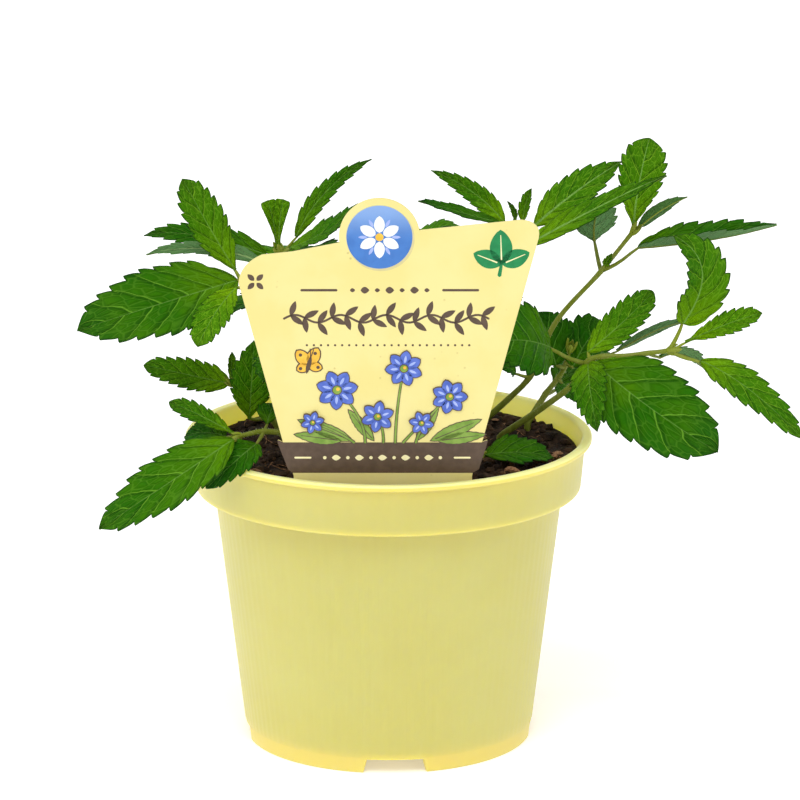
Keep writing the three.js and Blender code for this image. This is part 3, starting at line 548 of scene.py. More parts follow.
def make_pot():
    profile = pot_profile()
    turns = pot_turns()
    radius = np.repeat(profile[:, :1], len(turns), axis=1)
    height = np.repeat(profile[:, 1:], len(turns), axis=1)
    outside = np.zeros(len(profile))
    for i, (r, z) in enumerate(profile):
        on_wall = abs(r - body_radius(z)) < 0.05 and 5 < z < BAND_FOOT_Z - 1
        on_band = BAND_FOOT_Z + 1 < z < POT_HEIGHT - LIP_DEPTH - 0.5 and r > BAND_FOOT_RADIUS - 0.2
        outside[i] = 1.0 if on_wall else 0.6 if on_band else 0.0
    radius -= FLUTE_DEPTH * outside[:, None] * (0.5 + 0.5 * np.cos(FLUTE_COUNT * turns))[None, :]

    quarter = 2 * math.pi / NOTCH_COUNT
    from_notch = np.mod(turns + math.pi / 2 - NOTCH_TURN + quarter / 2, quarter) - quarter / 2
    lift = notch_lift(from_notch * BODY_FOOT_RADIUS)[None, :]
    is_foot = (height < FLOOR_UNDERSIDE_Z) & (radius > BODY_FOOT_RADIUS - FOOT_RING_WIDTH - 1)
    squeezed = lift + height * (1 - lift / FLOOR_UNDERSIDE_Z)
    height = np.where(is_foot, squeezed, height)

    points = np.stack([radius * np.cos(turns), radius * np.sin(turns), height], -1)
    # the lip and the inside are paler, as light comes through the thin wall there
    crest = int(np.argmax(profile[:, 1] > POT_HEIGHT - 0.5))
    lit = np.where(np.arange(len(profile)) >= crest, 1.0, 0.0)
    piece = Piece(lit=0.0)
    piece.add(points, closed_faces(len(profile), len(turns)), lit=np.repeat(lit, len(turns)))
    pot = piece.build("pot_shell", [pot_finish()], "pot", "pot", crease=38)
    cut_drains(pot)


def cut_drains(pot):
    sides = 40
    low, high = FLOOR_UNDERSIDE_Z - 3, FLOOR_UNDERSIDE_Z + FLOOR_THICKNESS + 3
    points, faces = [], []
    turns = even_turns(sides)
    for i in range(DRAIN_COUNT):
        middle = (i + 0.5) * 2 * math.pi / DRAIN_COUNT
        x = DRAIN_RING_RADIUS * math.cos(middle) + DRAIN_RADIUS * np.cos(turns)
        y = DRAIN_RING_RADIUS * math.sin(middle) + DRAIN_RADIUS * np.sin(turns)
        faces += [[len(points) + corner for corner in face] for face in closed_faces(2, sides)]
        for z in (low, high):
            points += np.stack([x, y, np.full(sides, z)], -1).tolist()
    mesh = bpy.data.meshes.new("drain_cutter")
    mesh.from_pydata(to_frame(points).tolist(), [], faces)
    tool = put("drain_cutter", mesh)
    cut = pot.modifiers.new("drains", "BOOLEAN")
    cut.operation = "DIFFERENCE"
    cut.solver = "MANIFOLD"
    cut.object = tool
    shown = pot.evaluated_get(bpy.context.evaluated_depsgraph_get())
    mesh = bpy.data.meshes.new_from_object(shown)
    pot.modifiers.clear()
    pot.data = mesh
    bpy.data.objects.remove(tool)


# Soil
def soil_height(x, y):
    radius = np.hypot(x, y)
    crown = SOIL_CROWN * (1 - (radius / BAND_FOOT_RADIUS) ** 2)
    lumps = np.sin(0.31 * x + 1.3) * np.cos(0.27 * y - 0.4)
    lumps += 0.6 * np.sin(0.53 * y + 0.22 * x) * np.cos(0.47 * x - 0.9)
    return SOIL_EDGE_Z + crown + SOIL_RELIEF * lumps


def rough_soil(x, y):
    """The soil's height with its coarse and fine clods."""
    coarse = noise.fractal(Vector((x * 0.16, y * 0.16, 3.1)), 0.9, 2.1, 5)
    fine = noise.noise(Vector((x * 1.3, y * 1.3, 8.4)))
    edge = min(1.0, max(0.0, (SOIL_EDGE_RADIUS - math.hypot(x, y)) / 3))
    return float(soil_height(x, y)) + edge * (CLOD_RELIEF * coarse + GRAIN_RELIEF * fine)


def add_clod(piece, dice, centre, size, finish, tone, flat=0.7):
    """A small rough lump."""
    rings, sides = 4, 7
    seed = Vector((dice.uniform(0, 90), dice.uniform(0, 90), dice.uniform(0, 90)))
    stretch = np.array([dice.uniform(0.7, 1.35), dice.uniform(0.7, 1.2), flat * dice.uniform(0.8, 1.2)])
    turn = dice.uniform(0, 2 * math.pi)
    points = []
    for ring in range(1, rings + 1):
        tilt = math.pi * ring / (rings + 1)
        for side in range(sides):
            angle = 2 * math.pi * (side + 0.5 * (ring % 2)) / sides
            way = Vector((math.sin(tilt) * math.cos(angle), math.sin(tilt) * math.sin(angle), math.cos(tilt)))
            points.append(np.array(way) * (1 + 0.45 * noise.noise(way * 1.7 + seed)))
    points = np.array(points + [[0, 0, 1.0], [0, 0, -1.0]]) * stretch * size
    cos, sin = math.cos(turn), math.sin(turn)
    spin = np.array([[cos, -sin, 0], [sin, cos, 0], [0, 0, 1]])
    faces = grid_faces(rings, sides, ring=True, flip=True).tolist()
    top, bottom = rings * sides, rings * sides + 1
    for side in range(sides):
        onward = (side + 1) % sides
        faces.append([top, side, onward])
        faces.append([bottom, (rings - 1) * sides + onward, (rings - 1) * sides + side])
    piece.add(points @ spin.T + centre, faces, finish, tone=tone)


def random_spot(dice, reach=SOIL_EDGE_RADIUS - 1.5):
    radius = reach * math.sqrt(dice.random())
    angle = dice.uniform(0, 2 * math.pi)
    return radius * math.cos(angle), radius * math.sin(angle)


def make_soil():
    dice = random.Random(11)
    rings, sides = 84, 260
    soil = Piece(tone=0.0)
    foot = FLOOR_UNDERSIDE_Z + FLOOR_THICKNESS + SOIL_GAP
    ledge = BAND_FOOT_Z + WALL + SOIL_GAP
    under = [(0.5, foot), (body_radius(foot) - WALL - SOIL_GAP, foot)]
    under += [(body_radius(ledge) - WALL - SOIL_GAP, ledge), (BAND_FOOT_RADIUS - WALL - SOIL_GAP, ledge)]
    under += [(SOIL_EDGE_RADIUS, SOIL_EDGE_Z)]
    points = []
    turns = even_turns(sides)
    for radius, height in under:
        points += [(radius * math.cos(a), radius * math.sin(a), height) for a in turns]
    for radius in np.linspace(SOIL_EDGE_RADIUS, 0.5, rings)[1:]:
        for a in turns:
            x, y = radius * math.cos(a), radius * math.sin(a)
            points.append((x, y, rough_soil(x, y)))
    soil.add(points, closed_faces(len(points) // sides, sides))

    for _ in range(CLOD_COUNT):
        x, y = random_spot(dice)
        size = 0.35 + 1.5 * dice.random() ** 3
        tone = 0.75 * dice.random() ** 3
        add_clod(soil, dice, (x, y, rough_soil(x, y) + 0.25 * size), size, 0, tone)
    for _ in range(CHIP_COUNT):
        x, y = random_spot(dice)
        size = dice.uniform(0.8, 2.0)
        add_clod(soil, dice, (x, y, rough_soil(x, y) + 0.3), size, 1, 0.4, flat=0.22)
    for _ in range(FIBRE_COUNT):
        add_fibre(soil, dice)
    for x, y, length in LARGE_CHIPS:
        add_chip(soil, dice, x, y, length)
    soil.build("potting_soil", [soil_finish(), wood_finish()], "soil", "soil", crease=50)


def add_fibre(soil, dice):
    x, y = random_spot(dice, SOIL_EDGE_RADIUS - 5)
    angle = dice.uniform(0, 2 * math.pi)
    bend = dice.uniform(-0.25, 0.25)
    steps = 7
    reach = dice.uniform(0.5, 1.3)
    path = []
    for step in range(steps):
        path.append((x, y, rough_soil(x, y) + 0.25 + 0.9 * dice.random() * (step / steps)))
        angle += bend
        x += reach * math.cos(angle)
        y += reach * math.sin(angle)
    thick = dice.uniform(0.09, 0.2)
    add_tube(soil, path, np.linspace(thick, thick * 0.5, steps), 5, 1)


def add_chip(soil, dice, x, y, length):
    """A splinter of wood that lies on the soil."""
    angle = dice.uniform(-0.4, 0.4)
    steps = 6
    path = []
    for step in range(steps):
        along = (step / (steps - 1) - 0.5) * length
        px, py = x + along * math.cos(angle), y + along * math.sin(angle)
        path.append((px, py, rough_soil(px, py) + 0.7))
    add_tube(soil, path, [0.25, 0.75, 0.9, 0.85, 0.7, 0.2], 7, 1)


# Label
def on_card(x, z, out):
    """A point on the card's plane, moved out towards the viewer."""
    y = -out
    rise = z - LABEL_HINGE_Z
    cos, sin = math.cos(LABEL_LEAN), math.sin(LABEL_LEAN)
    return x, LABEL_Y + y * cos - rise * sin, LABEL_HINGE_Z + y * sin + rise * cos


def quadratic(start, pull, end, steps=9):
    t = np.linspace(0, 1, steps)[:, None]
    start, pull, end = map(np.array, (start, pull, end))
    return [tuple(p) for p in (1 - t) ** 2 * start + 2 * (1 - t) * t * pull + t ** 2 * end]


def strip_side(side):
    """One side of the strip at the card's foot, from its foot up to the neck."""
    foot, edge, *shoulder, neck = side
    return [foot, edge] + quadratic(*shoulder, 7) + [neck]


def strip_outline():
    return strip_side(STRIP_RIGHT) + strip_side(STRIP_LEFT)[::-1]


def card_outline():
    badge_x, badge_z = BADGE_CENTRE
    feet = (BADGE_RIGHT_FOOT, BADGE_LEFT_FOOT)
    turn = [math.degrees(math.atan2(z - badge_z, x - badge_x)) for x, z in feet]
    right, left = CARD_FOOT_RIGHT[0], CARD_FOOT_LEFT[0]
    outline = [(-STAKE_POINT_HALF_WIDTH, STAKE_TIP_Z), (STAKE_POINT_HALF_WIDTH, STAKE_TIP_Z)]
    outline += [(STAKE_HALF_WIDTH, STAKE_TIP_Z + STAKE_POINT_LENGTH), (STAKE_HALF_WIDTH, STAKE_TOP_Z)]
    outline += [(right - CARD_FOOT_CORNER, CARD_FOOT_Z), (right, CARD_FOOT_Z + CARD_FOOT_CORNER)]
    outline += [CARD_FOOT_RIGHT] + strip_side(STRIP_RIGHT) + quadratic(*CORNER_RIGHT) + [TOP_BEND_RIGHT]
    outline += arc(BADGE_CENTRE, BADGE_RADIUS, turn[0], turn[1] % 360, 40)
    outline += [TOP_BEND_LEFT] + quadratic(*CORNER_LEFT) + strip_side(STRIP_LEFT)[::-1]
    outline += [CARD_FOOT_LEFT, (left, CARD_FOOT_Z + CARD_FOOT_CORNER)]
    outline += [(left + CARD_FOOT_CORNER, CARD_FOOT_Z), (-STAKE_HALF_WIDTH, STAKE_TOP_Z)]
    outline += [(-STAKE_HALF_WIDTH, STAKE_TIP_Z + STAKE_POINT_LENGTH)]
    return outline


def signed_area(points):
    """Twice the area inside an outline, above 0 where it runs anticlockwise."""
    return np.sum(points[:, 0] * np.roll(points[:, 1], -1) - np.roll(points[:, 0], -1) * points[:, 1])


def grown(outline, by):
    """The outline moved outwards by a distance, or inwards when it is below 0."""
    points = np.array(outline, float)
    before = unit(points - np.roll(points, 1, axis=0))
    after = unit(np.roll(points, -1, axis=0) - points)
    normal = np.stack([before[:, 1] + after[:, 1], -before[:, 0] - after[:, 0]], -1)
    normal *= np.sign(signed_area(points))
    length = np.linalg.norm(normal, axis=1, keepdims=True)
    return points + by * normal / np.maximum(length, 0.6) * 2 / np.maximum(length, 0.9)


def add_prism(piece, outline, low, high, finish=0, edge=0.0):
    """A closed prism on the card's plane, with a small sloping edge at its outer face."""
    outline = np.array(outline, float)
    if signed_area(outline) < 0:
        outline = outline[::-1]
    rings = [(outline, low), (outline, high)]
    if edge:
        inner = grown(outline, -edge)
        rings = [(inner, low), (outline, low + edge), (outline, high - edge), (inner, high)]
    points = [on_card(x, z, out) for ring, out in rings for x, z in ring]
    sides = len(outline)
    faces = grid_faces(len(rings), sides, ring=True).tolist()
    cap = tessellate_polygon([[Vector((x, z, 0)) for x, z in rings[-1][0]]])
    last = (len(rings) - 1) * sides
    for a, b, c in cap:
        (ax, az), (bx, bz), (cx, cz) = outline[a], outline[b], outline[c]
        if (bx - ax) * (cz - az) - (cx - ax) * (bz - az) < 0:
            b, c = c, b
        faces.append([last + a, last + b, last + c])
        faces.append([a, c, b])
    piece.add(points, faces, finish)


def make_card():
    card = Piece()
    half = LABEL_THICKNESS / 2
    add_prism(card, card_outline(), -half, half, edge=0.12)
    card.build("label_card", [card_finish()], "label", "label", crease=30)


INKS = {
    "brown": ((0.080, 0.049, 0.031), (0.105, 0.066, 0.043)),
    "blue": ((0.055, 0.11, 0.47), (0.10, 0.17, 0.60)),
    "sky": ((0.30, 0.40, 0.80), (0.42, 0.50, 0.85)),
    "green": ((0.0, 0.20, 0.055), (0.005, 0.25, 0.07)),
    "lime": ((0.15, 0.28, 0.03), (0.24, 0.38, 0.06)),
    "white": ((0.82, 0.84, 0.82), (0.92, 0.93, 0.90)),
    "gold": ((0.78, 0.42, 0.03), (0.90, 0.55, 0.06)),
    "disc": None,
    "shade": ((0.62, 0.55, 0.26), (0.68, 0.60, 0.29)),
    "cream": ((0.88, 0.80, 0.42), (0.93, 0.86, 0.50)),
}
INK_NAMES = list(INKS)
PRINT_STEP = 0.03
INK_LINE = 0.24


def ink_finishes():
    return [ink_finish("ink_" + name, *tones) if tones else disc_finish() for name, tones in INKS.items()]


class Print:
    """Thin inked shapes on the face of the card, drawn one over another."""

    def __init__(self):
        self.piece = Piece()
        self.layer = 1

    def fill(self, outline, ink, lift=0):
        top = LABEL_THICKNESS / 2 + PRINT_STEP * (self.layer + lift)
        add_prism(self.piece, outline, LABEL_THICKNESS / 2 - 0.15, top, INK_NAMES.index(ink))

    def drawn(self, outline, ink, line=INK_LINE):
        """A filled shape with a dark line round it."""
        self.fill(grown(outline, line / 2), "brown")
        self.fill(grown(outline, -line / 2), ink, lift=1)


def disc(x, z, radius, sides=32):
    return arc((x, z), radius, 0, 360 * (1 - 1 / sides), sides)


def ray(centre, reach, angle):
    """The point at a distance from a centre, in the direction of an angle in degrees."""
    return arc(centre, reach, angle, angle, 1)[0]


def petal(x, z, length, width, angle, blunt=0.75, steps=9, teeth=0.0):
    """A pointed oval that leaves its foot at an angle in degrees."""
    u = np.linspace(0, 1, steps)
    half = width / 2 * np.sin(math.pi * u ** 0.9) ** blunt
    half += teeth * (np.arange(steps) % 2) * (u > 0.1) * (u < 0.95)
    turn = math.radians(angle)
    way, side = np.array([math.cos(turn), math.sin(turn)]), np.array([-math.sin(turn), math.cos(turn)])
    spine = np.array([x, z]) + np.outer(u * length, way)
    right = spine - half[:, None] * side
    left = spine + half[:, None] * side
    return [tuple(p) for p in np.concatenate([right, left[-2:0:-1]])]


def stroke(path, width, fade=0.0):
    """A line of a pen through the points. Its end is thinner by the share called fade."""
    path = np.array(path, float)
    ways = unit(np.gradient(path, axis=0))
    side = np.stack([-ways[:, 1], ways[:, 0]], -1)
    half = width / 2 * (1 - fade * np.linspace(0, 1, len(path)))[:, None]
    nib = ways[-1] * half[-1] * 0.8
    tail = ways[0] * half[0] * 0.8
    right, left = path - side * half, (path + side * half)[::-1]
    return [tuple(p) for p in np.concatenate([right, [path[-1] + nib], left, [path[0] - tail]])]


def print_bars(art, centre, inner, outer, z, width, ink):
    """A short level line on each side of a centre."""
    for side in (-1, 1):
        ends = [(centre + side * reach, z) for reach in (inner, (inner + outer) / 2, outer)]
        art.fill(stroke(ends, width), ink)


def print_band(art):
    art.fill(grown(strip_outline(), 0.03), "brown")
    art.layer += 1
    middle = (STRIP_FOOT_Z + NECK_Z) / 2
    centre = -1.6
    print_bars(art, centre, 20.5, 25, middle, 0.55, "cream")
    for i in range(-5, 6):
        x = centre + 3.3 * i
        if i % 2:
            art.fill(disc(x, middle, 0.5, 16), "cream")
        else:
            art.fill(petal(x - 1.3, middle, 2.6, 1.7, 0, blunt=1.0), "cream")


def print_badge(art):
    x, z = BADGE_CENTRE
    art.fill(disc(x + 0.35, z - 0.5, DISC_RADIUS + 0.25, 64), "shade")
    art.layer += 1
    art.fill(disc(x, z, DISC_RADIUS, 64), "disc")
    art.layer += 1
    for i in range(6):
        turn = 90 + i * 60
        foot = ray((x, z), 1.3, turn)
        art.fill(petal(*foot, 4.9, 3.0, turn, blunt=0.6, steps=13), "white")
        foot = ray((x, z), 3.4, turn + 30)
        art.fill(petal(*foot, 2.6, 0.9, turn + 30), "sky")
    art.fill(disc(x, z, 1.15), "gold", lift=1)


def print_sprig(art, x, z):
    """Three broad green leaves on a short stalk."""
    art.fill(stroke([(x - 0.6, z - 6.4), (x - 0.2, z - 4), (x, z - 1)], 1.1, 0.3), "green")
    for angle, length, width in ((92, 10.2, 6.4), (24, 8.6, 5.4), (158, 8.6, 5.4)):
        art.fill(petal(x, z - 3, length, width, angle, blunt=0.7, steps=15), "green")
        ends = [ray((x, z - 3), reach, angle) for reach in (1.4, length * 0.5, length * 0.84)]
        art.fill(stroke(ends, 0.42, 0.5), "cream", lift=1)


def print_garland(art, left, right, z):
    """A waving vine with pairs of leaves."""
    xs = np.linspace(left, right, 61)
    waves = 4.5
    height = z + 1.15 * np.sin((xs - left) / (right - left) * waves * 2 * math.pi)
    art.fill(stroke(list(zip(xs, height)), 0.62), "brown")
    count = 15
    for i in range(count):
        at = int(2 + i * (len(xs) - 5) / (count - 1))
        slope = math.degrees(math.atan2(height[at + 1] - height[at - 1], xs[at + 1] - xs[at - 1]))
        for side in (-1, 1):
            art.fill(petal(xs[at], height[at], 4.6, 1.75, slope + side * 54, blunt=0.8, steps=11), "brown")


def print_title(art):
    centre, height = 0.5, 147.3
    print_bars(art, centre, 15, 25, height, 0.7, "brown")
    for i in range(-3, 4):
        size = 2.5 if i % 2 == 0 else 1.5
        art.fill(petal(centre + i * 3.5 - size / 2, height, size, size * 0.8, 0, blunt=0.9), "brown")
    print_garland(art, -29.5, 28.5, 138.8)
    for i in range(24):
        art.fill(disc(-23 + i * 2, 130.9, 0.33, 12), "brown")
    for angle in (45, 135, 225, 315):
        art.fill(petal(*ray((-37.4, 149.8), 0.5, angle), 2.6, 1.5, angle), "brown")


def print_bloom(art, x, z, radius, petals, turn):
    for i in range(petals):
        angle = turn + i * 360 / petals
        foot = ray((x, z), radius * 0.16, angle)
        art.drawn(petal(*foot, radius * 0.84, radius * 0.62, angle, blunt=0.62, steps=11), "blue")
        mark = ray((x, z), radius * 0.3, angle)
        art.fill(petal(*mark, radius * 0.42, radius * 0.14, angle), "sky", lift=2)
    art.layer += 2
    art.drawn(disc(x, z, radius * 0.22, 20), "lime")
    art.fill(disc(x + radius * 0.04, z + radius * 0.05, radius * 0.09, 12), "gold", lift=2)
    art.layer += 1


def print_stalk(art, foot, top, lean):
    """A curved stalk that leans out to one side."""
    pull = ((foot[0] + top[0]) / 2 + lean, (foot[1] + top[1]) / 2)
    line = quadratic(foot, pull, top)
    art.fill(stroke(line, 1.0, 0.3), "brown")
    art.fill(stroke(line, 0.6, 0.3), "lime", lift=1)


def print_leaf(art, x, z, length, width, angle):
    art.drawn(petal(x, z, length, width, angle, blunt=0.85, steps=17, teeth=0.12), "lime")
    ends = [ray((x, z), length * share, angle) for share in (0.1, 0.5, 0.85)]
    art.fill(stroke(ends, 0.26, 0.5), "brown", lift=2)


def print_meadow(art):
    leaves = (
        (-10, 17, 4.0, 158), (-13, 14, 3.6, 172), (12, 16, 3.8, 24),
        (14, 14, 3.4, 8), (-4, 12, 3.2, 128), (8, 12, 3.2, 58),
    )
    art.layer = 2
    for x, length, width, angle in leaves:
        print_leaf(art, x, NECK_Z + 0.5, length, width, angle)
    art.layer = 4
    blooms = (
        (-14.5, 117.5, 6.0, 7, 10, 4), (4.5, 124.0, 5.4, 7, 30, -1), (17.5, 115.5, 5.2, 7, 0, -3),
        (-3.0, 109.5, 4.8, 6, 20, 1), (9.5, 107.6, 3.6, 6, 50, 0), (-21.5, 107.8, 3.4, 6, 15, 2),
    )
    for x, z, radius, petals, turn, lean in blooms:
        print_stalk(art, (x * 0.45, NECK_Z), (x, z), lean)
    art.layer = 6
    for x, z, radius, petals, turn, lean in blooms:
        print_bloom(art, x, z, radius, petals, turn)


def print_butterfly(art, x, z):
    art.layer = 3
    for angle, length, width in ((128, 5.6, 3.8), (205, 3.8, 3.0), (62, 5.8, 3.8), (-15, 4.0, 3.0)):
        art.drawn(petal(x, z, length, width, angle, blunt=0.55, steps=11), "gold", 0.34)
        spot = ray((x, z), length * 0.68, angle)
        art.fill(disc(*spot, 0.5, 12), "brown", lift=2)
    art.layer = 6
    art.fill(petal(x - 0.7, z - 2.6, 5.6, 1.3, 75), "brown")
    for angle in (70, 95):
        end = ray((x + 0.6, z + 2.4), 2.4, angle)
        middle = ((x + 0.5 + end[0]) / 2 + 0.1, (z + 2.3 + end[1]) / 2)
        art.fill(stroke([(x + 0.5, z + 2.2), middle, end], 0.26), "brown")


def make_print():
    art = Print()
    print_band(art)
    for draw, *place in ((print_badge,), (print_sprig, 32, 158), (print_title,)):
        art.layer = 1
        draw(art, *place)
    print_meadow(art)
    print_butterfly(art, -22.5, 125)
    art.piece.build("label_print", ink_finishes(), None, "label", crease=30)


# Leafy stems
@dataclass
class Leaf:
    at: float  # where on its stem's path it starts
    tip: tuple
    width: float
    face: tuple  # the way its upper side looks
    bow: tuple  # how far its middle is moved
    young: float  # from 0, dark and grown, to 1, yellow-green
    base: tuple = None  # where the blade starts, if the petiole's length doesn't give it
    petiole: float = 5
    fold: float = 9  # degrees
    swell: tuple = (0.7, 0.95)  # powers that narrow the blade towards its base and its tip
    nicks: float = 1.0  # depth of its teeth
    rib: float = 0.2  # how pale and wide its midrib is
    turned: bool = False  # with its underside up


